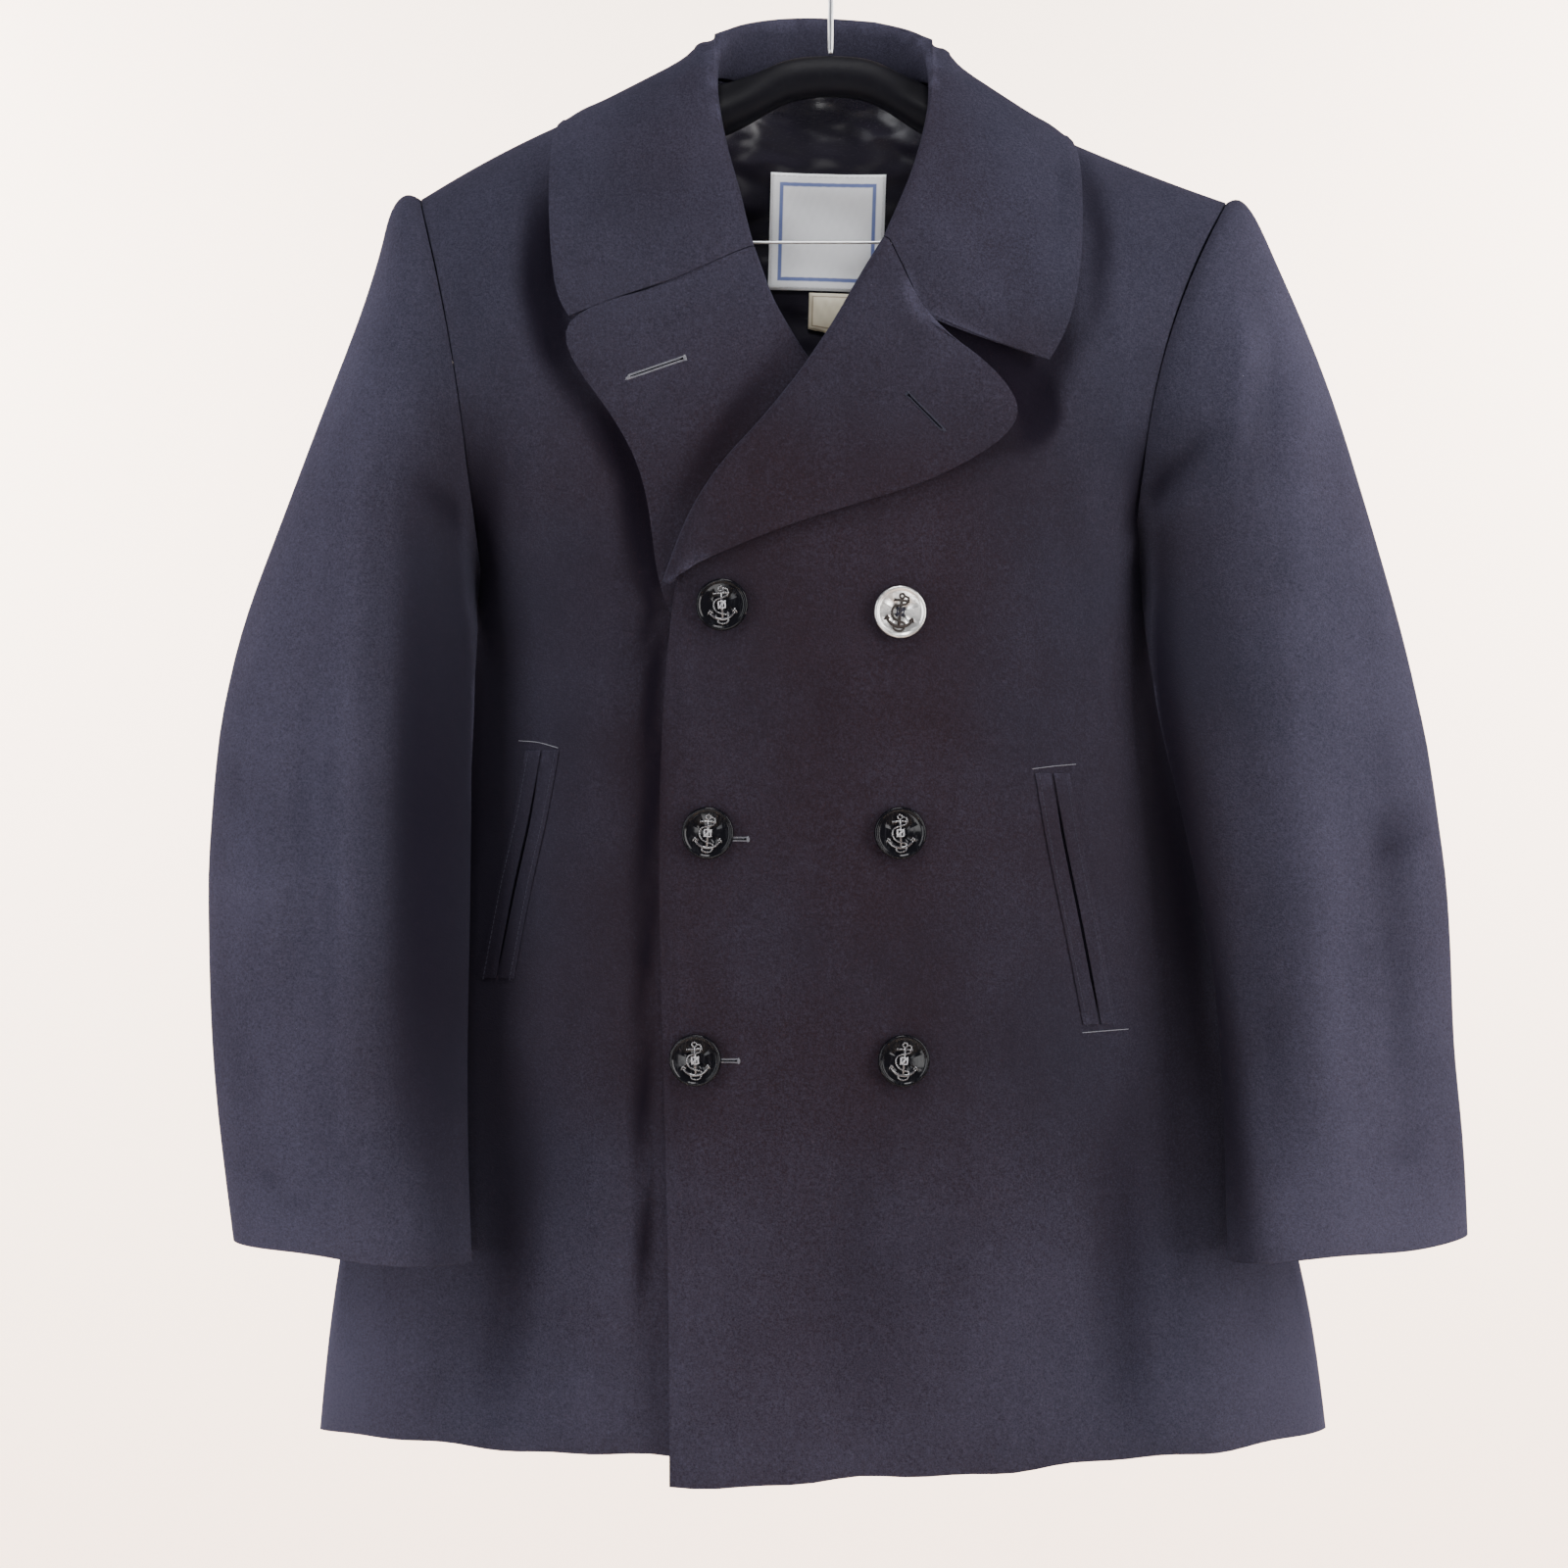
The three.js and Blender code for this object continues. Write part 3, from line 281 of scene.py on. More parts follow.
def label_cloth(name, ground, line, inset, line_width, size):
    """A woven label: a border line runs inset metres from its edge, all round."""
    finish = Finish(name)
    cut = finish.node("UVMap", {"uv_map": "cut"})
    u = finish.part("X", cut) * size[0]
    v = finish.part("Y", cut) * size[1]
    from_side = u.maths("MINIMUM", size[0] - u)
    from_end = v.maths("MINIMUM", size[1] - v)
    inside = from_side.maths("MINIMUM", from_end)
    warp = finish.lines("X", 700.0)
    weft = finish.lines("Z", 900.0)
    stain = finish.noise(0.02, 3.0, 0.6)
    pale = finish.blend(stain * 0.35 + warp * 0.12, ground, darker(ground, 0.72))
    pale = finish.blend(inside.between(0.0030, 0.0018) * 0.25, pale, darker(ground, 0.8))
    colour = finish.blend(inside.near(inset, line_width) * (0.75 + weft * 0.25), pale, line)
    wide = finish.bump(finish.noise(0.016, 1.5, 0.4, (1.0, 1.0, 0.6)), 0.0022, 0.6)
    normal = finish.bump(warp * 0.5 + weft * 0.5, 0.00012, 0.4, Normal=wide)
    return finish.surface(colour, 0.42 + stain * 0.12, normal, Sheen_Weight=0.15)


def thread(name, dark, pale, sheen=0.15):
    finish = Finish(name)
    twist = finish.noise(0.0004, 2.0, 0.5)
    fuzz = finish.noise(0.004, 3.0, 0.6)
    colour = finish.blend(twist * 0.6 + fuzz * 0.4, dark, pale)
    return finish.surface(colour, 0.85 - twist * 0.15, finish.bump(twist, 0.00015, 0.6),
                          Sheen_Weight=sheen, Specular_IOR_Level=sheen)


SATIN = satin("lining_satin")
LABEL_SIZE = (0.0685, 0.069)
TAB_SIZE = (0.030, 0.0215)
LABEL = label_cloth("label_satin", (0.86, 0.865, 0.90), (0.018, 0.060, 0.30), 0.0066, 0.0015, LABEL_SIZE)
TAB = label_cloth("size_tab_tape", (0.60, 0.54, 0.41), (0.22, 0.17, 0.11), 0.0022, 0.0005, TAB_SIZE)
NAVY_THREAD = thread("thread_navy", (0.009, 0.0085, 0.014), (0.028, 0.028, 0.040), 0.03)
GREY_THREAD = thread("thread_grey", (0.030, 0.031, 0.040), (0.15, 0.15, 0.17))
PALE_THREAD = thread("thread_pale", (0.12, 0.12, 0.14), (0.38, 0.37, 0.38))
WHITE_THREAD = thread("thread_white", (0.50, 0.50, 0.52), (0.80, 0.80, 0.80))
# A dark finish for the rods that paint the shadow in open slits
SLIT_PAINTED_SHADOW = thread("slit_shadow", (0.0010, 0.0009, 0.0014), (0.0022, 0.0020, 0.0030), 0.0)
print("satin", SATIN.name, "labels", LABEL.name, TAB.name)

# %% [markdown]
# ## Hard finishes
# The buttons are moulded plastic with a wet gloss and hair-fine scratches; the raised anchor on the black
# ones is paler than the disc, a painted highlight for its glints. One was replaced by a silver one, whose
# hollows keep a dark tarnish. The hanger is duller plastic, the hook drawn steel wire.

# %% Plastic and metal
def scratched(finish, size, stretch):
    """Thin scratches: noise pulled long and cut to its narrow middle values."""
    return finish.noise(size, 3.0, 0.7, stretch).near(0.5, 0.02)


def gloss_plastic(name, colour, rough, wear_colour, shine):
    finish = Finish(name)
    marks = scratched(finish, 0.006, (1.0, 1.0, 0.15))
    dust = finish.noise(0.0016, 4.0, 0.7)
    smear = finish.noise(0.01, 2.0, 0.5)
    tint = finish.blend(dust.between(0.62, 0.78) * 0.25 + marks * 0.15, colour, wear_colour)
    roughness = rough + smear * 0.08 + marks * 0.12 + dust.between(0.6, 0.8) * 0.15
    return finish.surface(tint, roughness, finish.bump(smear + marks * 0.2, 0.00006, 0.4),
                          Specular_IOR_Level=shine)


def tarnished_metal(name, colour, dark, rough):
    finish = Finish(name)
    marks = scratched(finish, 0.004, (0.2, 1.0, 1.0))
    patch = finish.noise(0.0035, 4.0, 0.65)
    tarnish = patch.between(0.50, 0.74) * 0.45
    return finish.surface(finish.blend(tarnish, colour, dark), rough + patch * 0.2 + marks * 0.1,
                          finish.bump(patch + marks * 0.3, 0.00012, 0.5), Metallic=1.0 - tarnish * 0.5)


def drawn_steel(name):
    finish = Finish(name)
    lines = finish.noise(0.0006, 2.0, 0.5, (1.0, 1.0, 0.05))
    dull = finish.noise(0.012, 3.0, 0.6)
    tint = finish.blend(dull, (0.42, 0.42, 0.43), (0.25, 0.25, 0.26))
    return finish.surface(tint, 0.24 + lines * 0.18, finish.bump(lines, 0.00004, 0.5), Metallic=1.0)


BLACK_BUTTON = gloss_plastic("button_black", (0.0022, 0.0021, 0.0030), 0.06, (0.02, 0.02, 0.024), 0.09)
# The black buttons' anchor: a real gloss, and a colour paler than the disc, a painted highlight for its glints
ANCHOR_GLOSS_PAINTED_HIGHLIGHT = gloss_plastic("button_anchor_gloss_painted_highlight", (0.020, 0.019, 0.022), 0.10, (0.08, 0.08, 0.085), 0.95)
SILVER_BUTTON = tarnished_metal("button_silver", (0.44, 0.43, 0.42), (0.05, 0.045, 0.042), 0.22)
TARNISH = tarnished_metal("button_tarnish", (0.035, 0.030, 0.028), (0.012, 0.011, 0.010), 0.5)
HANGER_PLASTIC = gloss_plastic("hanger_plastic", (0.0022, 0.0020, 0.0032), 0.46, (0.006, 0.006, 0.008), 0.05)
STEEL = drawn_steel("hook_steel")
print("hard finishes", BLACK_BUTTON.name, SILVER_BUTTON.name, HANGER_PLASTIC.name, STEEL.name)

# %% [markdown]
# ## Folds
# The creases of this coat were placed one by one. Each is a bent line with a soft bell across it, and the
# sum of all of them moves the cloth out and in. The sleeves also swing a little over the coat's sides,
# and valleys lie between them. The same sum tells the wool how high each point stands, and so where it
# gets painted shade in hollows and a painted highlight on ridges.

# %% Soft folds
# Each crease runs through three places x, z, all in mm; then come its half width and how far it stands
# out. Before them: on, b fronts and backs, c collar and lapels, s sleeves; and side, f front, k back.
FOLD_ROWS = (
    # the sleeves' pressed creases and the hollows beside them
    ("s", "f", -262, -215, -268, -400, -270, -760, 9, 3.6),
    ("s", "f", -238, -330, -234, -520, -234, -700, 17, -5.0),
    ("s", "f", -305, -330, -322, -500, -318, -700, 24, 3.2),
    ("s", "f", -292, -420, -296, -520, -296, -640, 10, -2.2),
    ("s", "f", 231, -205, 234, -260, 224, -345, 8, 4.6),
    ("s", "f", 248, -215, 252, -270, 246, -345, 9, -2.6),
    ("s", "f", 259, -275, 262, -340, 260, -400, 8, 2.8),
    ("s", "f", 254, -430, 272, -560, 282, -740, 22, 4.0),
    ("s", "f", 226, -420, 240, -560, 248, -720, 13, -3.6),
    ("s", "f", 300, -470, 312, -600, 316, -700, 16, -2.6),
    ("s", "f", -327, -699, -314, -724, -288, -746, 7, -3.0),
    ("s", "f", -340, -688, -320, -708, -294, -730, 7, 2.4),
    ("s", "f", 330, -700, 312, -716, 290, -722, 8, -2.0),
    ("s", "f", -345, -500, -320, -520, -295, -528, 14, -2.4),
    ("s", "f", -345, -560, -320, -572, -295, -574, 16, 2.0),
    ("s", "f", 340, -520, 318, -538, 295, -545, 14, -2.4),
    # drag lines below the armholes
    ("bs", "f", 168, -362, 192, -332, 215, -307, 7, -3.4),
    ("bs", "f", 160, -384, 186, -358, 212, -342, 8, 2.6),
    ("bs", "f", -196, -378, -214, -355, -232, -338, 8, -2.8),
    ("b", "f", 152, -400, 142, -350, 130, -300, 13, 2.4),
    ("b", "f", -180, -400, -168, -340, -160, -280, 13, 2.4),
    ("b", "f", 176, -330, 184, -400, 194, -480, 12, -4.0),
    ("b", "f", -196, -330, -204, -400, -212, -480, 12, -4.0),
    # the collar and lapels shade deep hollows beside them
    ("b", "f", -150, -180, -158, -236, -146, -292, 11, -5.0),
    ("b", "f", -124, -296, -106, -340, -96, -392, 9, -4.0),
    ("b", "f", 108, -236, 124, -262, 112, -300, 13, -5.0),
    ("b", "f", 62, -322, 96, -306, 118, -290, 10, -3.0),
    # the flap's shadow line and the ridge beside it
    ("b", "f", -100, -430, -108, -560, -104, -860, 7, -2.4),
    ("b", "f", -76, -440, -82, -600, -78, -860, 9, 1.5),
    # the skirt falls in broad soft folds
    ("b", "f", 205, -560, 216, -720, 226, -890, 24, 4.6),
    ("b", "f", 160, -680, 165, -790, 170, -890, 22, -3.6),
    ("b", "f", 90, -700, 96, -800, 100, -890, 28, 2.6),
    ("b", "f", 20, -700, 18, -800, 16, -890, 26, -2.0),
    ("b", "f", -215, -560, -232, -720, -246, -880, 22, 4.6),
    ("b", "f", -170, -680, -182, -790, -196, -880, 20, -3.8),
    ("b", "f", -125, -720, -132, -800, -140, -880, 18, 2.6),
    # soft dents of the chest
    ("b", "f", -10, -440, 0, -480, 4, -510, 20, -1.4),
    ("b", "f", 96, -420, 104, -470, 106, -520, 20, 1.6),
    ("b", "f", -128, -440, -136, -500, -150, -560, 16, 1.8),
    # the collar's inner crease and its wavy fall
    ("c", "f", 128, -150, 129, -180, 124, -215, 4, -1.6),
    ("c", "f", 96, -110, 110, -160, 112, -215, 16, 1.6),
    ("c", "f", -146, -120, -152, -170, -150, -215, 16, 1.6),
    ("c", "f", 60, -205, 80, -236, 104, -262, 12, 2.2),
    ("c", "f", -84, -440, -70, -424, -58, -404, 7, -1.8),
    # the back: hollows between the shoulder blades, folds of the skirt, bent elbows
    ("b", "k", -110, -180, -120, -300, -118, -430, 40, 5.0),
    ("b", "k", 95, -180, 104, -300, 102, -430, 40, 5.0),
    ("b", "k", -8, -160, -8, -260, -8, -380, 34, -3.5),
    ("b", "k", -180, -330, -160, -420, -150, -560, 18, -4.5),
    ("b", "k", 155, -330, 136, -420, 128, -560, 18, -4.5),
    ("b", "k", -90, -560, -100, -720, -112, -890, 30, 5.0),
    ("b", "k", -190, -600, -204, -740, -214, -890, 26, 5.0),
    ("b", "k", -146, -600, -156, -740, -166, -890, 20, -4.5),
    ("b", "k", 76, -560, 86, -720, 96, -890, 30, 5.0),
    ("b", "k", 178, -600, 190, -740, 198, -890, 26, 5.0),
    ("b", "k", 132, -600, 142, -740, 150, -890, 20, -4.5),
    ("s", "k", -345, -470, -320, -500, -285, -512, 12, -4.0),
    ("s", "k", -348, -520, -325, -536, -290, -546, 12, 3.0),
    ("s", "k", -346, -560, -322, -580, -292, -588, 12, -3.4),
    ("s", "k", 335, -480, 310, -508, 282, -518, 12, -4.0),
    ("s", "k", 340, -528, 318, -544, 285, -552, 12, 3.0),
    ("s", "k", 342, -566, 318, -586, 290, -594, 12, -3.4),
)

# Painted shade where the wool lies in a valley or under an edge: on, the line, its reach and how dark it
# is. Under 0 it is a painted highlight, a pale ridge.
PAINTED_SHADE_ROWS = (
    # the valleys beside the sleeves
    ("s", -203, -330, -212, -520, -214, -775, 20, 0.52),
    ("b", -198, -320, -202, -520, -202, -760, 27, 0.74),
    ("s", 178, -330, 200, -540, 228, -775, 12, 0.85),
    ("b", 178, -320, 196, -540, 222, -775, 17, 0.90),
    ("s", 224, -370, 236, -480, 250, -620, 13, -0.45),
    ("s", -246, -330, -252, -460, -256, -600, 12, -0.25),
    # beside the collar, in the notch and below the lapels
    ("b", -164, -170, -166, -225, -156, -280, 11, 0.80),
    ("b", -142, -288, -112, -334, -106, -392, 10, 0.95),
    ("b", 52, -236, 86, -264, 113, -294, 11, 1.20),
    ("b", 108, -284, 119, -304, 108, -320, 9, 1.10),
    ("b", 142, -140, 152, -200, 146, -254, 9, 0.55),
    ("b", -70, -372, 10, -346, 104, -318, 7, 0.45),
    ("c", -24, -264, -54, -302, -88, -354, 9, 0.50),
    # the line beside the flap's edge, and the edge's pale ridge
    ("b", -102, -372, -100, -480, -103, -610, 5, 1.00),
    ("b", -104, -600, -106, -720, -104, -860, 4, 0.55),
    ("b", -89, -430, -91, -600, -92, -860, 5, -0.35),
)

# Corners and edges that stand off or lie closer: node, centre x, z, reach, and the move in x, y, z
NUDGE_ROWS = (
    ("lapel_right", -139, -257, 24, -9.0, -1.0, 3.5),
    ("lapel_right", -118, -243, 16, 0.0, -0.6, 2.5),
    ("lapel_left", 100, -290, 34, 0.5, -7.0, 0.0),
    ("lapel_left", 60, -320, 34, 0.0, -2.0, 0.0),
    ("collar", 128, -236, 40, 0.0, -5.0, 0.0),
    ("collar", 134, -160, 34, 0.0, -2.5, 0.0),
    ("collar", -150, -206, 40, 0.0, -3.5, 0.0),
    ("lapel_right", -82, -226, 24, 0.0, 1.0, 1.3),
)

# Between each sleeve and the coat's side lies a valley; both banks sink into it by this much
SLEEVE_VALLEY = 9.0
SIDE_VALLEY = 8.0
# The CAD leaves a hair of a gap along the centre back seam; each side moves in to close it
SEAM_CLOSED = 0.17
MIDDLE = COAT_MIDDLE * 1000

# How far the sleeves swing in over the coat's sides, and how much these widen: z, then left and right
SWING_ROWS = ((-330, 0, 0), (-360, 2.5, 1.5), (-400, 5.0, 3.0), (-420, 6.5, 4.5), (-460, 6.5, 2.0),
              (-500, 6.0, 0.0), (-560, 5.5, 0.0), (-620, 2.0, 0), (-680, 0, 0))
WIDEN_ROWS = ((-335, 0, 0), (-360, 3.0, 1.5), (-410, 3.5, 2.5), (-440, 3.5, 2.0), (-500, 3.5, 0),
              (-570, 3.0, 0), (-640, 0, 0))


def ridge(path, width, x, z):
    """1 on a bent line through places x, z, falling to 0 beside it and towards its ends."""
    places = list(zip(path[::2], path[1::2]))
    lengths = [dist(a, b) for a, b in zip(places, places[1:])]
    best, middle, start = np.full(len(x), 1e9), np.zeros(len(x)), 0.0
    for a, b, length in zip(places, places[1:], lengths):
        dx, dz = (b[0] - a[0]) / length, (b[1] - a[1]) / length
        t = np.clip((x - a[0]) * dx + (z - a[1]) * dz, 0, length)
        away = np.hypot(x - a[0] - t * dx, z - a[1] - t * dz)
        share = np.clip((start + t) / sum(lengths) * 0.86 + 0.07, 0, 1)
        middle = np.where(away < best, np.sin(np.pi * share) ** 0.7, middle)
        best = np.minimum(best, away)
        start += length
    return np.exp(-((best / width) ** 2)) * middle


def ramp(value, width):
    """0 under 0, 1 over width, and straight between."""
    return np.clip(value / width, 0, 1)


def by_height(rows, sign, z):
    """What a table says at the heights z, for the coat's left side and its right."""
    heights, left, right = np.array(rows[::-1]).T
    return np.where(sign > 0, np.interp(z, heights, left), np.interp(z, heights, right))


def drape(points, group, node):
    """Moves points (in metres) as the folds say, and tells how high each then stands, from -1 to 1, less the
    painted shade of the shade rows. Pieces that lie on each other move alike."""
    x, y, z = (points * 1000).T
    front = ramp((-46 if group == "s" else -4) + 6 - y, 12)
    move = np.zeros(points.shape)
    height = np.zeros(len(x))
    for on, side, *path, spread, lift in FOLD_ROWS:
        if group in on:
            out = lift * ridge(path, spread, x, z) * (front if side == "f" else 1 - front)
            move[:, 1] += -out if side == "f" else out
            height += out / 9
    # Painted shade: these rows darken the wool's colour without moving it, and under 0 paint a highlight
    for on, *path, reach, depth in PAINTED_SHADE_ROWS:
        if group in on:
            height -= depth * ridge(path, reach, x, z) * front
    for on, x0, z0, reach, *way in NUDGE_ROWS:
        if on == node:
            move += np.outer(np.exp(-((x - x0) ** 2 + (z - z0) ** 2) / reach ** 2), way)
    sign, aside = np.sign(x - MIDDLE), np.abs(x - MIDDLE)
    low = ramp(-300 - z, 130)
    if group == "b":
        swell = 0.7 * np.sin(x / 37 + 1.1) * np.sin(z / 61) + 0.5 * np.sin(x / 19 - z / 83)
        move[:, 1] += swell * np.where(front > 0.5, -1, 1) * ramp(-300 - z, 200) * ramp(np.abs(y + 4), 20)
        move[:, 2] += (1.1 * np.sin(x / 21 + 0.6) + 0.7 * np.sin(x / 9.3)) * ramp(-800 - z, 90)
        move[:, 1] += SIDE_VALLEY * ramp(aside - 120, 85) ** 1.5 * low * front * ramp(z + 860, 120)
        move[:, 0] += sign * by_height(WIDEN_ROWS, sign, z) * ramp(aside - 130, 60)
        move[:, 0] -= sign * SEAM_CLOSED * ramp(2 - aside, 1) * (y > 5)
    if group == "s":
        move[:, 2] += 0.9 * np.sin(x / 15 + 2.0) * ramp(-690 - z, 70)
        move[:, 1] += SLEEVE_VALLEY * ramp(266 - np.abs(x), 60) ** 1.6 * low * front
        move[:, 0] -= sign * by_height(SWING_ROWS, sign, z) * ramp(265 - np.abs(x), 60)
    return points + move / 1000, np.clip(height, -1, 1)


print("folds", len(FOLD_ROWS), "shades", len(PAINTED_SHADE_ROWS))

# %% [markdown]
# ## From solid shells to soft cloth
# A cut piece in the frame is a closed shell: an outer face, an inner face, and a narrow rim between them
# as wide as the cloth is thick. Subdivision would melt that rim away, so its long edges are creased first.
# They are found by their rungs, the short edges that cross the rim, whose length is the thickness. After
# the subdivision a bevel rounds the edges as turned cloth is rounded.

# %% Soft copies
CROSSES_RIM = 0.04
CORNER_DEGREES = 72
BEVEL_DEGREES = 48


def opened(node, flat_degrees):
    """A node's solid as a bmesh with its triangles joined where it is nearly flat, and its creases."""
    shape = bmesh.new()
    shape.from_mesh(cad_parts[node].data)
    bmesh.ops.remove_doubles(shape, verts=shape.verts, dist=1e-6)
    bmesh.ops.join_triangles(shape, faces=shape.faces, angle_face_threshold=radians(flat_degrees),
                             angle_shape_threshold=radians(180))
    return shape, shape.edges.layers.float.new("crease_edge")


def smoothed(shape, levels, rounding=0.0):
    """A mesh of the subdivided shape, its edges rounded where told. The normals that came with the
    file are forgotten, so that shading follows the new shape."""
    for face in shape.faces:
        face.smooth = True
    mesh = bpy.data.meshes.new("smoothed")
    shape.to_mesh(mesh)
    shape.free()
    stored = mesh.attributes.get("custom_normal")
    if stored:
        mesh.attributes.remove(stored)
    for _ in range(2):
        mesh.materials.append(None)
    piece = placed("smoothed", mesh)
    smooth = piece.modifiers.new("smooth", "SUBSURF")
    smooth.levels = smooth.render_levels = levels
    if rounding:
        round_edge = piece.modifiers.new("round", "BEVEL")
        round_edge.width = rounding
        round_edge.segments = 3
        round_edge.limit_method = "ANGLE"
        round_edge.angle_limit = radians(BEVEL_DEGREES)
    return finished_mesh(piece)


def finished_mesh(piece):
    """The object's mesh with its modifiers applied; the object itself is removed."""
    made = bpy.data.meshes.new_from_object(piece.evaluated_get(bpy.context.evaluated_depsgraph_get()))
    old = piece.data
    bpy.data.objects.remove(piece)
    bpy.data.meshes.remove(old)
    return made


def connected(faces):
    """Groups of faces that touch along edges."""
    left, groups = set(faces), []
    while left:
        front = [left.pop()]
        group = list(front)
        while front:
            for edge in front.pop().edges:
                for face in left.intersection(edge.link_faces):
                    left.remove(face)
                    front.append(face)
                    group.append(face)
        groups.append(group)
    return groups


def soft_shell(node, thick, levels, rounding, press):
    """A smooth copy of a shell, pressed to a share of its thickness. Its inner faces have material 1."""
    shape, crease = opened(node, 60)
    rungs = {edge for edge in shape.edges if abs(edge.calc_length() - thick) < thick * CROSSES_RIM}
    rim = {face for face in shape.faces if any(edge in rungs for edge in face.edges)}
    for edge in shape.edges:
        on_rim = sum(face in rim for face in edge.link_faces)
        corner = edge in rungs and edge.calc_face_angle(0) > radians(CORNER_DEGREES)
        if on_rim == 1 or (on_rim == 2 and corner):
            edge[crease] = 1.0
    inner = min(connected(set(shape.faces) - rim), key=lambda side: outwardness(side, node))
    inner_verts = {vert for face in inner for vert in face.verts}
    for edge in rungs:
        low, high = edge.verts if edge.verts[0] in inner_verts else reversed(edge.verts)
        high.co = low.co + (high.co - low.co) * press
    for face in shape.faces:
        face.material_index = 0
    for face in inner:
        face.material_index = 1
    return smoothed(shape, levels, rounding)


def outwardness(side, node):
    """Positive for the side of a shell that looks away from the body or arm inside it."""
    centres = [(face, face.calc_center_median()) for face in side]
    return sum(face.normal.dot(at - inside_of(node, at)) * face.calc_area() for face, at in centres)


# The middle of a sleeve by height: z, x and y in metres
SLEEVE_MIDDLES = ((-0.770, 0.280, -0.055), (-0.545, 0.281, -0.048), (-0.420, 0.268, -0.040),
                  (-0.330, 0.246, -0.030), (-0.250, 0.230, -0.014), (-0.170, 0.222, 0.0))


def inside_of(node, place):
    """A place inside the coat or the sleeve at the height of a given one."""
    if "sleeve" not in node:
        return Vector((COAT_MIDDLE, 0, place.z))
    heights, across, depths = zip(*SLEEVE_MIDDLES)
    x = float(np.interp(place.z, heights, across))
    return Vector((-x if "right" in node else x, float(np.interp(place.z, heights, depths)), place.z))


def store(mesh, name, values):
    mesh.attributes.new(name, "FLOAT", "POINT").data.foreach_set("value", values)


EDGE_REACH = 0.006
RIM_SHARPNESS = 1.12


def mark_edges(mesh):
    """Stores the attribute edge: 1 at the piece's rim, 0 further in than its reach."""
    shape = bmesh.new()
    shape.from_mesh(mesh)
    rim = [v for v in shape.verts if v.calc_shell_factor() > RIM_SHARPNESS]
    tree = KDTree(len(rim))
    for v in rim:
        tree.insert(v.co, v.index)
    tree.balance()
    store(mesh, "edge", [max(0.0, 1 - tree.find(v.co)[2] / EDGE_REACH) for v in shape.verts])
    shape.free()


def new_piece(name, mesh, *materials):
    """An object of the mesh, whose faces keep the number of their material."""
    mesh.name = name
    numbers = [polygon.material_index for polygon in mesh.polygons]
    mesh.materials.clear()
    for material in materials:
        mesh.materials.append(material)
    mesh.polygons.foreach_set("material_index", numbers)
    return placed(name, mesh)


def triangles(mesh):
    return sum(len(polygon.vertices) - 2 for polygon in mesh.polygons)


print("ready to soften", len(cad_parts), "nodes")

# %% [markdown]
# ## Cutting out the pieces
# Every row of this table is a cut piece: the node it stands for, the name it gets, which folds move it,
# its kind of cloth, and the size of the cloth it is cut from.

# %% The cut pieces
# Thickness in mm, levels of subdivision, rounding in mm, share of the thickness that pressing leaves,
# what holds the cloth, and its outer and inner finish
KINDS = {
    "wool": (3, 2, 1.2, 1.0, "hung", (WOOL, SATIN)),
    "wool_collar": (3, 2, 1.45, 1.0, "folded", (WOOL_COLLAR, WOOL_COLLAR)),
    "wool_welt": (1.6, 1, 0.6, 0.35, "laid", (WOOL_WELT, WOOL_WELT)),
    "satin_lining": (1, 2, 0.4, 1.0, "hung", (SATIN, SATIN)),
}
CUT_ROWS = (
    ("front_left", "left_front_cloth", "b", "wool", (0.41, 0.82)),
    ("front_right", "right_front_cloth", "b", "wool", (0.41, 0.80)),
    ("back_left", "left_back_cloth", "b", "wool", (0.31, 0.80)),
    ("back_right", "right_back_cloth", "b", "wool", (0.31, 0.80)),
    ("top_sleeve_left", "left_top_sleeve_cloth", "s", "wool", (0.25, 0.63)),
    ("top_sleeve_right", "right_top_sleeve_cloth", "s", "wool", (0.25, 0.63)),
    ("under_sleeve_left", "left_under_sleeve_cloth", "s", "wool", (0.12, 0.54)),
    ("under_sleeve_right", "right_under_sleeve_cloth", "s", "wool", (0.12, 0.54)),
    ("lapel_left", "left_lapel_cloth", "c", "wool_collar", (0.24, 0.21)),
    ("lapel_right", "right_lapel_cloth", "c", "wool_collar", (0.24, 0.27)),
    ("collar", "collar_cloth", "c", "wool_collar", (0.66, 0.16)),
    ("pocket_jet_front_left", "left_front_welt", "b", "wool_welt", (0.012, 0.147)),
    ("pocket_jet_side_left", "left_side_welt", "b", "wool_welt", (0.012, 0.147)),
    ("pocket_jet_front_right", "right_front_welt", "b", "wool_welt", (0.012, 0.135)),
    ("pocket_jet_side_right", "right_side_welt", "b", "wool_welt", (0.012, 0.135)),
    ("neck_lining", "neck_lining_satin", "b", "satin_lining", (0.17, 0.25)),
)
cloth = {}


def cloth_area(mesh):
    """Half the surface of a thin closed shell is the area of its cloth."""
    return sum(polygon.area for polygon in mesh.polygons) / 2


for node, name, group, kind, _ in CUT_ROWS:
    thick, levels, rounding, press, _, faces = KINDS[kind]
    mesh = soft_shell(node, thick / 1000, levels, rounding / 1000, press)
    moved, height = drape(np.array([v.co for v in mesh.vertices]), group, node)
    mesh.vertices.foreach_set("co", moved.ravel())
    mesh.update()
    mark_edges(mesh)
    # The folds' height with the painted shade of the shade rows, for the wool's colour
    store(mesh, "relief_and_painted_shade", height)
    cloth[node] = new_piece(name, mesh, *faces)
    print(name, triangles(mesh), "triangles", round(cloth_area(mesh), 4), "square metres")

# %% [markdown]
# ## Riding, names and cuts
# Each piece is carried by the root, and the CAD node it stands for is hidden. The smaller of its cloth's
# area and its flat cut's area is worked out, but not used; cloth may bend, but it must not grow.


def stands_for(piece, node):
    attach(piece, "root")
    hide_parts(node)


def cut_from(piece, flat):
    area = min(cloth_area(piece.data), flat[0] * flat[1])


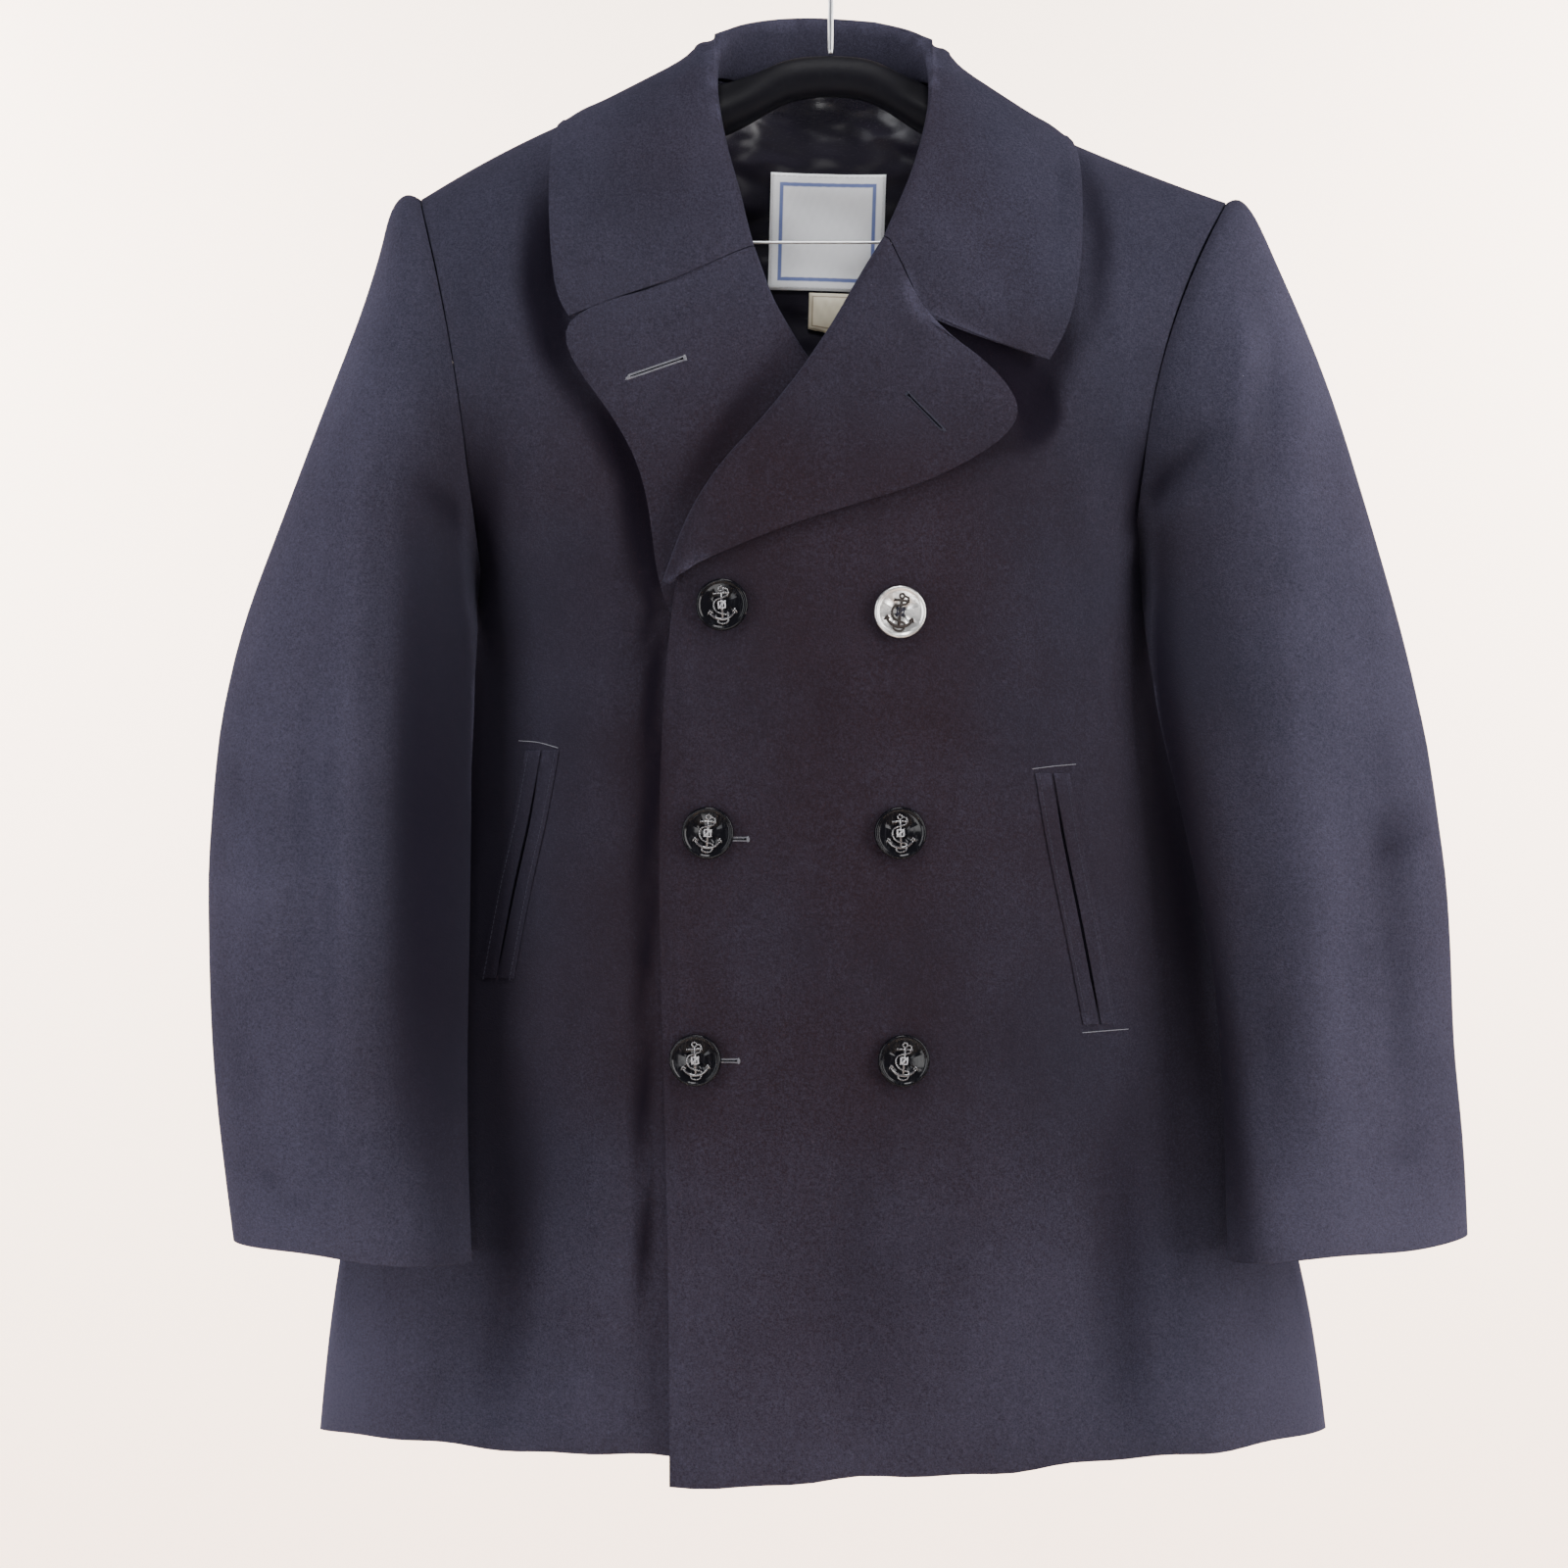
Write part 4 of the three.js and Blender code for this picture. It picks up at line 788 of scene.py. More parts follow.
for node, _, _, kind, flat in CUT_ROWS:
    stands_for(cloth[node], node)
    cut_from(cloth[node], flat)
print("cloth pieces", len(cloth))

# %% [markdown]
# ## Finding a place on the cloth
# Buttons and stitches have to sit on the cloth wherever its folds moved it. A BVH tree answers that
# question quickly: a ray from the front hits the cloth at one point and tells the normal there.

# %% Places on the cloth
RAY_START_Y = -0.5


def finder(mesh):
    return BVHTree.FromPolygons([v.co for v in mesh.vertices], [p.vertices for p in mesh.polygons])


finders = {node: finder(piece.data) for node, piece in cloth.items()}


def on_cloth(nodes, x, z):
    """The first place of the named pieces that is seen from the front at x, z, and its normal."""
    hits = [finders[node].ray_cast(Vector((x, RAY_START_Y, z)), Vector((0, 1, 0)))[:2] for node in nodes]
    return min((hit for hit in hits if hit[0] is not None), key=lambda hit: hit[0].y)


print("cloth at the middle left button", [round(v, 4) for v in on_cloth(["front_left"], 0.037, -0.535)[0]])

# %% [markdown]
# ## Rods
# Wires, threads and the raised lines of an anchor are all a circle swept along a line. This helper makes
# such a rod with closed ends, and keeps its rings from twisting by turning each a little from the last.

# %% Swept rods
def rod(points, radii, sides):
    """Vertices and faces of a rod through points. radii is one number or one for each point."""
    points = [Vector(p) for p in points]
    if not isinstance(radii, list):
        radii = [radii] * len(points)
    verts, faces = [], []
    across = None
    for i, point in enumerate(points):
        ahead = (points[min(i + 1, len(points) - 1)] - points[max(i - 1, 0)]).normalized()
        across = across or ahead.orthogonal().normalized()
        across = (across - ahead * across.dot(ahead)).normalized()
        beside = ahead.cross(across)
        for k in range(sides):
            turn = 2 * pi * k / sides
            verts.append(point + (across * cos(turn) + beside * sin(turn)) * radii[i])
    for i in range(len(points) - 1):
        for k in range(sides):
            a, b = i * sides + k, i * sides + (k + 1) % sides
            faces.append((a, b, b + sides, a + sides))
    last = (len(points) - 1) * sides
    return verts, faces + [tuple(reversed(range(sides))), tuple(last + k for k in range(sides))]


def joined(parts):
    """One mesh of several lists of vertices and faces, each with the number of its material."""
    verts, faces, slots = [], [], []
    for part_verts, part_faces, slot in parts:
        faces += [tuple(v + len(verts) for v in face) for face in part_faces]
        slots += [slot] * len(part_faces)
        verts += [tuple(v) for v in part_verts]
    mesh = bpy.data.meshes.new("joined")
    mesh.from_pydata(verts, [], faces)
    mesh.polygons.foreach_set("material_index", slots)
    mesh.shade_smooth()
    return mesh


def curve_through(places, steps):
    """A smooth line through places, as a list of points."""
    places = [Vector(p) for p in places]
    padded = [places[0] * 2 - places[1], *places, places[-1] * 2 - places[-2]]
    line = []
    for a, b, c, d in zip(padded, padded[1:], padded[2:], padded[3:]):
        for t in (k / steps for k in range(steps)):
            line.append(0.5 * ((2 * b) + (c - a) * t + (2 * a - 5 * b + 4 * c - d) * t ** 2
                               + (3 * b - a - 3 * c + d) * t ** 3))
    return line + [places[-1]]


print("rod helper ready")

# %% [markdown]
# ## Hanger
# The moulded hanger and its steel hook are rigid, so their solids keep their exact place. Copies that are
# subdivided once or twice lose the facets, and a crease keeps the ends crisp.

# %% Hanger, hook and crossbar
SHARP_DEGREES = 70
SHARP_CREASE = 0.9
HANGER_PARTS = (
    ("hanger_body", "hanger_body_plastic", 2, HANGER_PLASTIC, "hanger_plastic"),
    ("hanger_hook", "hanger_hook_steel", 1, STEEL, "hanger_steel"),
    ("hanger_bar", "hanger_bar_steel", 1, STEEL, "hanger_steel"),
)
for node, name, levels, material, slot in HANGER_PARTS:
    shape, crease = opened(node, 30)
    for edge in shape.edges:
        if edge.calc_face_angle(0) > radians(SHARP_DEGREES):
            edge[crease] = SHARP_CREASE
    piece = new_piece(name, smoothed(shape, levels), material)
    stands_for(piece, node)
    print(name, triangles(piece.data), "triangles")

# %% [markdown]
# ## Labels
# A woven label is a limp rectangle, sewn down all round, so it puckers a little between its stitches. It
# is built from a grid over the satin behind it, so a UV map for its border comes for free.

# %% Label and size tab
LABEL_TILT = radians(-1.6)
LABEL_THICK = 0.0006
LABEL_GAP = 0.0008
PUFF = 0.0022
PUCKER = 0.0006


def on_label(top, across, down):
    """The x and z of a place that far across and down a tilted label."""
    return (top[0] + across * cos(LABEL_TILT) + down * sin(LABEL_TILT),
            top[1] + across * sin(LABEL_TILT) - down)


def label_mesh(size, top, point, steps):
    """A thin closed label with a UV map named cut; point is how far its lower end comes to a tip."""
    outer, inner, uvs = [], [], []
    for u, v in ((j / steps, i / steps) for i in range(steps + 1) for j in range(steps + 1)):
        tip = point * (1 - abs(u - 0.5) * 2) * max(0.0, 1 - v * 3)
        x, z = on_label(top, (u - 0.5) * size[0], (1 - v) * size[1] + tip)
        depth = on_cloth(["neck_lining"], x, z)[0].y - LABEL_GAP
        inward = min(u, 1 - u, v, 1 - v)
        depth -= PUFF * min(1, inward * 5) * (0.5 + 0.5 * sin(z * 160 + x * 40))
        depth -= PUCKER * sin(x * 900 + z * 500) * min(1, inward * 8)
        outer.append((x, depth - LABEL_THICK, z))
        inner.append((x, depth, z))
        uvs.append((u, v))
    row, back = steps + 1, len(outer)
    faces = []
    for a in (i * row + j for i in range(steps) for j in range(steps)):
        quad = (a, a + 1, a + 1 + row, a + row)
        faces += [quad, tuple(k + back for k in reversed(quad))]
    border = [*range(steps), *(i * row + steps for i in range(steps))]
    border += [steps * row + steps - j for j in range(steps)] + [(steps - i) * row for i in range(steps)]
    faces += [(b, a, a + back, b + back) for a, b in zip(border, border[1:] + border[:1])]
    mesh = bpy.data.meshes.new("label")
    mesh.from_pydata(outer + inner, [], faces)
    layer = mesh.uv_layers.new(name="cut")
    for loop in mesh.loops:
        layer.data[loop.index].uv = uvs[loop.vertex_index % back]
    mesh.shade_smooth()
    return mesh


LABEL_PLACE = (-0.0005, -0.145)
TAB_PLACE = (0.003, -0.2155)
LABEL_PARTS = (
    ("label", "woven_label", LABEL_SIZE, LABEL_PLACE, 0.0, 24, LABEL, "label_cloth"),
    ("size_tab", "woven_size_tab", TAB_SIZE, TAB_PLACE, 0.003, 12, TAB, "tab_cloth"),
)
for node, name, size, top, point, steps, material, slot in LABEL_PARTS:
    mesh = label_mesh(size, top, point, steps)
    piece = new_piece(name, mesh, material)
    stands_for(piece, node)
    cut_from(piece, (size[0] * 1.06, (size[1] + point) * 1.08))
    finders[node] = finder(mesh)
    print(name, triangles(mesh), "triangles", round(cloth_area(mesh) * 1e4, 1), "square centimetres")

# %% [markdown]
# ## Buttons
# A pea coat's buttons are moulded with a raised rim and a fouled anchor: an anchor with a rope wound
# round it. Four holes go through the middle. The disc is a profile turned on a lathe with the holes cut
# by a Boolean; the anchor is drawn with rods, pressed half into the disc's face, in this lesson's own way.

# %% Button disc
BUTTON_RADIUS = 0.0145
HOLE_RADIUS = 0.00095
HALF_SPACING = 0.0018
HOLES = [(x, y) for x in (-HALF_SPACING, HALF_SPACING) for y in (-HALF_SPACING, HALF_SPACING)]
DISC_PROFILE = ((0.0, 0.0), (0.0118, 0.0), (0.0138, 0.0007), (0.01445, 0.0019), (0.0144, 0.0032),
                (0.0139, 0.0040), (0.0132, 0.00415), (0.0126, 0.0038), (0.0122, 0.00325), (0.0115, 0.0030),
                (0.0, 0.0027))


def turned(profile, steps):
    """A lathe: the profile (radius, height) is turned round Z into a closed mesh."""
    shape = bmesh.new()
    line = [shape.verts.new((r, 0, h)) for r, h in profile]
    edges = [shape.edges.new(pair) for pair in zip(line, line[1:])]
    bmesh.ops.spin(shape, geom=line + edges, cent=(0, 0, 0), axis=(0, 0, 1), angle=2 * pi, steps=steps,
                   use_duplicate=False)
    bmesh.ops.remove_doubles(shape, verts=shape.verts, dist=1e-6)
    bmesh.ops.recalc_face_normals(shape, faces=shape.faces)
    mesh = bpy.data.meshes.new("turned")
    shape.to_mesh(mesh)
    shape.free()
    return mesh


drills = [(*rod([(x, y, -0.002), (x, y, 0.006)], HOLE_RADIUS, 14), 0) for x, y in HOLES]
drill = new_piece("drill", joined(drills))
disc = new_piece("disc", turned(DISC_PROFILE, 64))
drilling = disc.modifiers.new("holes", "BOOLEAN")
drilling.operation = "DIFFERENCE"
drilling.object = drill
drilling.solver = "EXACT"
disc_mesh = finished_mesh(disc)
bpy.data.objects.remove(drill)
print("button disc", triangles(disc_mesh), "triangles")

# %% [markdown]
# ## Anchor, rope and thread
# The anchor's lines are written in mm, seen from the front. Two of them mirror each other at its sides.
# The rope is a smooth line whose beads swell and shrink along it, and rises where it crosses the shank.

# %% Anchor and rope
ROPE = ((1.2, 9.0, 0), (3.6, 8.0, 0), (3.0, 4.8, 0), (0, 3.8, 0.4), (-3.4, 2.6, 0), (-4.6, -0.4, 0),
        (-3.2, -3.6, 0), (0, -5.2, 0.4), (3.0, -6.2, 0), (2.6, -9.6, 0), (0, -10.6, 0), (-2.6, -9.6, 0),
        (-2.4, -7.4, 0))


def arc_line(centre_y, radius, start, end, steps):
    turns = [radians(start + (end - start) * k / steps) for k in range(steps + 1)]
    return [(radius * cos(turn), centre_y + radius * sin(turn), 0) for turn in turns]


def anchor_parts(height, grow, material):
    """Raised lines of an anchor with its rope; height and grow, which widens them all, are in mm."""
    rope = curve_through(ROPE, 8)
    rods = [
        ([(0, 7.2, 0), (0, -8.0, 0)], 0.70),
        ([(-4.0, 6.2, 0), (-2.0, 6.4, 0), (2.0, 6.4, 0), (4.0, 6.2, 0)], 0.55),
        (arc_line(8.8, 1.3, 0, 360, 12), 0.42),
        (arc_line(0, 8.2, 212, 328, 16), [0.42 + 0.35 * sin(pi * k / 16) for k in range(17)]),
    ]
    for sign in (-1, 1):
        rods.append(([(sign * 8.2, -5.1, 0), (sign * 6.9, -2.9, 0), (sign * 5.4, -4.5, 0)], [0.3, 0.62, 0.3]))
        rods.append(([(sign * 4.0, 6.2, 0), (sign * 4.4, 6.2, 0)], 0.78))
    rods.append((rope, [0.40 + 0.07 * sin(k * 2.1) for k in range(len(rope))]))
    parts = []
    for line, radii in rods:
        radii = radii if isinstance(radii, list) else [radii] * len(line)
        points = [(x / 1000, y / 1000, (z + height) / 1000) for x, y, z in line]
        parts.append((*rod(points, [(radius + grow) / 1000 for radius in radii], 6), material))
    return parts


def thread_parts(material):
    """Thread crossed through the four holes, with its ends down in them."""
    parts = []
    random.seed(4)
    for a, b in ((0, 1), (2, 3), (0, 2), (1, 3), (0, 3)):
        (x0, y0), (x1, y1) = HOLES[a], HOLES[b]
        for off in (-0.0002, 0.0002):
            top = 0.0037 + random.uniform(0, 0.0003)
            line = curve_through([(x0 + off, y0, 0.0016), (x0 + off, y0 + off, 0.0031),
                                  ((x0 + x1) / 2 + off, (y0 + y1) / 2 - off, top),
                                  (x1 + off, y1 + off, 0.0031), (x1 + off, y1, 0.0016)], 3)
            parts.append((*rod(line, 0.00022, 5), material))
    return parts


disc_part = ([v.co.copy() for v in disc_mesh.vertices], [tuple(p.vertices) for p in disc_mesh.polygons], 0)
black_parts = [disc_part, *anchor_parts(3.2, 0.1, 2), *thread_parts(1)]
silver_parts = [disc_part, *anchor_parts(2.9, 0.24, 2), *anchor_parts(3.2, -0.14, 0), *thread_parts(3)]
print("rods in an anchor", len(anchor_parts(0, 0, 0)))

# %% [markdown]
# ## Sewing the buttons on
# A button lies on the folds like a coin on a blanket: its middle touches, and its tilt follows the cloth
# a radius away on each side. Each is turned a little, as no two are sewn on alike.

# %% Sewing the buttons on
BUTTON_KINDS = {
    "black": (black_parts, (BLACK_BUTTON, PALE_THREAD, ANCHOR_GLOSS_PAINTED_HIGHLIGHT)),
    "silver": (silver_parts, (SILVER_BUTTON, GREY_THREAD, TARNISH, NAVY_THREAD)),
}
BUTTON_ROWS = (
    ("button_top_right", -0.061, -0.409, 4, "black"),
    ("button_top_left", 0.037, -0.413, -7, "silver"),
    ("button_middle_right", -0.069, -0.535, -3, "black"),
    ("button_middle_left", 0.037, -0.535, 2, "black"),
    ("button_bottom_right", -0.076, -0.661, 3, "black"),
    ("button_bottom_left", 0.039, -0.661, -4, "black"),
)
BUTTON_LIFT = 0.0006


def button_place(x, z, turn):
    """The matrix that lays a button on the left front, its face outwards."""
    def at(dx, dz):
        return on_cloth(["front_left"], x + dx * BUTTON_RADIUS, z + dz * BUTTON_RADIUS)[0]

    out = (at(1, 0) - at(-1, 0)).cross(at(0, 1) - at(0, -1)).normalized()
    if out.y > 0:
        out = -out
    up = (Vector((0, 0, 1)) - out * out.z).normalized()
    facing = Matrix((up.cross(out), up, out)).transposed().to_4x4()
    return Matrix.Translation(at(0, 0) + out * BUTTON_LIFT) @ facing @ Matrix.Rotation(radians(turn), 4, "Z")


for node, x, z, turn, kind in BUTTON_ROWS:
    parts, materials = BUTTON_KINDS[kind]
    mesh = joined(parts)
    mesh.transform(button_place(x, z, turn))
    piece = new_piece(f"{node}_{kind}", mesh, *materials)
    stands_for(piece, node)
    print(piece.name, triangles(mesh), "triangles")

# %% [markdown]
# ## Stitches with Geometry Nodes
# A row of stitches is one small shape repeated along a line, which is what Geometry Nodes do best. The
# line's points carry two attributes: along, the way a stitch lies, and up, the way out of the cloth. So one
# tree makes topstitching, where along follows the line, and worked buttonholes, where it lies across it.

# %% Stitch tree
TREE_INPUTS = (("Line", "Geometry"), ("Pitch", "Float"), ("Length", "Float"), ("Thickness", "Float"),
               ("Rise", "Float"), ("Thread", "Material"))


def stitch_tree():
    tree = bpy.data.node_groups.new("stitches_along_a_line", "GeometryNodeTree")
    for name, kind in TREE_INPUTS:
        tree.interface.new_socket(name, in_out="INPUT", socket_type="NodeSocket" + kind)
    tree.interface.new_socket("Stitches", in_out="OUTPUT", socket_type="NodeSocketGeometry")

    def add(kind, inputs, **settings):
        """Adds a node and gives its first output."""
        made = tree.nodes.new(kind)
        for key, value in settings.items():
            setattr(made, key, value)
        for key, value in inputs.items():
            if isinstance(value, bpy.types.NodeSocket):
                tree.links.new(value, made.inputs[key])
            else:
                made.inputs[key].default_value = value
        return made.outputs[0]

    def end_of_stitch(share):
        reach = add("ShaderNodeMath", {0: given["Length"], 1: share}, operation="MULTIPLY")
        return add("ShaderNodeCombineXYZ", {"X": reach})

    def stored(name):
        return add("GeometryNodeInputNamedAttribute", {"Name": name}, data_type="FLOAT_VECTOR")

    given = tree.nodes.new("NodeGroupInput").outputs
    line = add("GeometryNodeMeshToCurve", {0: given["Line"]})
    spaced = add("GeometryNodeResampleCurve", {"Curve": line, "Length": given["Pitch"]}, mode="LENGTH")
    middle = add("ShaderNodeCombineXYZ", {"Z": given["Rise"]})
    arc = add("GeometryNodeCurveQuadraticBezier", {"Resolution": 4, "Start": end_of_stitch(-0.5),
                                                   "Middle": middle, "End": end_of_stitch(0.5)})
    circle = add("GeometryNodeCurvePrimitiveCircle", {"Resolution": 6, "Radius": given["Thickness"]})
    stitch = add("GeometryNodeCurveToMesh", {"Curve": arc, "Profile Curve": circle, "Fill Caps": True})
    lay = add("FunctionNodeAlignRotationToVector", {"Vector": stored("along")}, axis="X")
    stand = add("FunctionNodeAlignRotationToVector", {"Rotation": lay, "Vector": stored("up")}, axis="Z",
                pivot_axis="X")
    repeated = add("GeometryNodeInstanceOnPoints", {"Points": spaced, "Instance": stitch, "Rotation": stand})
    smooth = add("GeometryNodeSetShadeSmooth", {0: add("GeometryNodeRealizeInstances", {0: repeated})})
    dyed = add("GeometryNodeSetMaterial", {"Geometry": smooth, "Material": given["Thread"]})
    tree.links.new(dyed, tree.nodes.new("NodeGroupOutput").inputs[0])
    return tree


STITCHES = stitch_tree()


def sewn_piece(name, mesh, material):
    piece = new_piece(name, mesh, material)
    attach(piece, "root")
    print(name, triangles(mesh), "triangles")


def sew(name, lines, thread, slot, **sizes):
    """A piece of stitches along lines; each line is a list of (place, along, up), the sizes are in mm."""
    verts = [point for line in lines for point in line]
    ends = np.cumsum([len(line) for line in lines])
    edges = [(k, k + 1) for k in range(len(verts) - 1) if k + 1 not in ends]
    mesh = bpy.data.meshes.new("line")
    mesh.from_pydata([place for place, _, _ in verts], edges, [])
    for column, attribute in ((1, "along"), (2, "up")):
        layer = mesh.attributes.new(attribute, "FLOAT_VECTOR", "POINT")
        layer.data.foreach_set("vector", [c for point in verts for c in point[column]])
    piece = placed("line", mesh)
    rows = piece.modifiers.new("stitches", "NODES")
    rows.node_group = STITCHES
    values = {"Thread": thread, **{key: value / 1000 for key, value in sizes.items()}}
    for item in STITCHES.interface.items_tree:
        if item.name in values:
            rows[item.identifier] = values[item.name]
    sewn_piece(name, finished_mesh(piece), thread)


def line_on(nodes, places, across=False, steps=24):
    """A line over the cloth through places (x, z), with the stitches' directions."""
    flat = curve_through([(x, 0, z) for x, z in places], max(2, steps // (len(places) - 1)))
    found = [on_cloth(nodes, p.x, p.z) for p in flat]
    line = []
    for k, (place, normal) in enumerate(found):
        ahead = (found[min(k + 1, len(found) - 1)][0] - found[max(k - 1, 0)][0]).normalized()
        up = -normal if normal.y > 0 else normal
        line.append((place, up.cross(ahead).normalized() if across else ahead, up))
    return line


def open_slit(name, line, lift, widths, sides):
    """A dark rod along a line: painted shadow where a slit of the cloth stands open."""
    points = [place + up * lift for place, _, up in line]
    sewn_piece(name, joined([(*rod(points, widths, sides), 0)]), SLIT_PAINTED_SHADOW)


print("stitch tree nodes", len(STITCHES.nodes))

# %% [markdown]
# ## Pockets
# The slits are held by a row of topstitching beside each welt, which follows the slit at a fixed distance.
# The slit itself stands a little open in its middle, where a dark rod paints the shadow inside it.

# %% Topstitching of the pockets
POCKET_SLITS = {
    "right": ((-0.164, -0.489), (-0.171, -0.527), (-0.180, -0.566), (-0.190, -0.618)),
    "left": ((0.123, -0.502), (0.130, -0.542), (0.140, -0.590), (0.151, -0.643)),
}
POCKET_NODES = {side: [f"front_{side}", f"pocket_jet_front_{side}", f"pocket_jet_side_{side}"]
                for side in POCKET_SLITS}
STITCH_OFFSET = 0.0078
top_rows = [line_on(POCKET_NODES[side], [(x + offset, z) for x, z in slit], steps=60)
            for side, slit in POCKET_SLITS.items() for offset in (-STITCH_OFFSET, STITCH_OFFSET)]
sew("pocket_topstitching", top_rows, NAVY_THREAD, "wool_welt", Pitch=2.9, Length=2.1, Thickness=0.17, Rise=0.1)

# %% Open slits
SLIT_END, SLIT_SPREAD = 0.0002, 0.0011
for side, slit in POCKET_SLITS.items():
    line = line_on(POCKET_NODES[side], slit, steps=30)
    count = len(line) - 1
    widths = [SLIT_END + SLIT_SPREAD * sin(pi * (k / count) ** 1.3) for k in range(count + 1)]
    open_slit(f"{side}_pocket_slit", line, -0.0004, widths, 10)

# %% [markdown]
# ## Bar tacks
# A bar tack above and below keeps a pocket from tearing. Its stitches lie close, and the paler thread has
# caught dust. The lower one of the wearer's right pocket isn't seen in the picture.

# %% Bar tacks
TACKS = (
    ("front_right", ((-0.177, -0.4835), (-0.166, -0.4845), (-0.155, -0.4875))),
    ("front_left", ((0.112, -0.4995), (0.124, -0.4980), (0.136, -0.4970))),
    ("front_left", ((0.141, -0.6475), (0.152, -0.6470), (0.167, -0.6465))),
)
tack_rows = [line_on([node], places, steps=16) for node, places in TACKS]
sew("pocket_bar_tacks", tack_rows, GREY_THREAD, "wool_welt", Pitch=1.3, Length=1.3, Thickness=0.19, Rise=0.22)

# %% [markdown]
# ## Buttonholes
# Each lapel has a worked buttonhole: close stitches across both lips of a narrow slit, with a rounded eye
# at one end. Three more end beside the buttons at the front edge, where only their bars show.

# %% Buttonholes
EYE = 0.0011


def buttonhole(node, inner, outer, lip):
    """A line of stitches round a slit from inner to outer, where the eye is."""
    start, end = Vector((inner[0], 0, inner[1])), Vector((outer[0], 0, outer[1]))
    ahead = (end - start).normalized()
    beside = Vector((-ahead.z, 0, ahead.x))
    ring = [start + beside * lip, end - ahead * EYE + beside * lip]
    for turn in (60, 20, -20, -60):
        ring.append(end + ahead * EYE * cos(radians(turn)) + beside * EYE * sin(radians(turn)) * 1.2)
    ring += [end - ahead * EYE - beside * lip, start - beside * lip, start - ahead * lip * 0.5, ring[0]]
    return line_on([node], [(p.x, p.z) for p in ring], across=True, steps=60)


HOLE_ROWS = (
    ("lapel_right", (-0.1130, -0.2810), (-0.0830, -0.2710), 0.0007, GREY_THREAD, "wool_collar"),
    ("lapel_left", (0.0600, -0.3125), (0.0415, -0.2935), 0.0006, NAVY_THREAD, "wool_collar"),
    ("front_left", (-0.0700, -0.4110), (-0.0500, -0.4110), 0.0006, NAVY_THREAD, "wool"),
    ("front_left", (-0.0700, -0.5385), (-0.0478, -0.5385), 0.0006, GREY_THREAD, "wool"),
    ("front_left", (-0.0760, -0.6615), (-0.0530, -0.6615), 0.0006, GREY_THREAD, "wool"),
)
for k, (node, inner, outer, lip, thread_used, slot) in enumerate(HOLE_ROWS, 1):
    sew(f"buttonhole_{k}_stitches", [buttonhole(node, inner, outer, lip)], thread_used, slot, Pitch=0.48,
        Length=1.4, Thickness=0.17, Rise=0.35)

# %% [markdown]
# ## Slits of the buttonholes
# Between the lips a thin dark rod, wider at its eye, paints the shadow in the slit.

# %% Slits of the buttonholes
for k, (node, inner, outer, _, _, slot) in enumerate(HOLE_ROWS, 1):
    line = line_on([node], [inner, outer], steps=14)
    widths = [0.0002, *[0.00038] * (len(line) - 2), 0.0008]
    open_slit(f"buttonhole_{k}_slit", line, 0.0001, widths, 6)

# %% [markdown]
# ## Stitches round the label
# Small white stitches follow the label's four sides, a little in from its edge.

# %% Stitches round the label
INSET = 0.0016
corners = [on_label(LABEL_PLACE, (u - 0.5) * (LABEL_SIZE[0] - 2 * INSET),
                    INSET + (1 - v) * (LABEL_SIZE[1] - 2 * INSET))
           for u, v in ((0, 0), (1, 0), (1, 1), (0, 1), (0, 0))]
sides = [line_on(["label"], side, steps=20) for side in zip(corners, corners[1:])]
sew("label_stitches", sides, WHITE_THREAD, "label_cloth", Pitch=3.0, Length=2.2, Thickness=0.2, Rise=0.2)

# %% [markdown]
# ## Room
# A plain pale wall and floor stand in for the cloth behind the coat.

# %% Wall and floor
FLOOR_Z, WALL_Y, ROOM, WALL_TOP = -2.0, 3.2, 8, 6


def plain_finish(name, colour):
    finish = Finish(name)
    grain = finish.noise(0.02, 3.0, 0.6)
    return finish.surface(finish.blend(grain * 0.3, colour, darker(colour, 0.94)), 0.92,
                          finish.bump(grain, 0.0005, 0.3))


def plane(name, corners, material):
    mesh = bpy.data.meshes.new(name)
    mesh.from_pydata(corners, [], [(0, 1, 2, 3)])
    return new_piece(name, mesh, material)


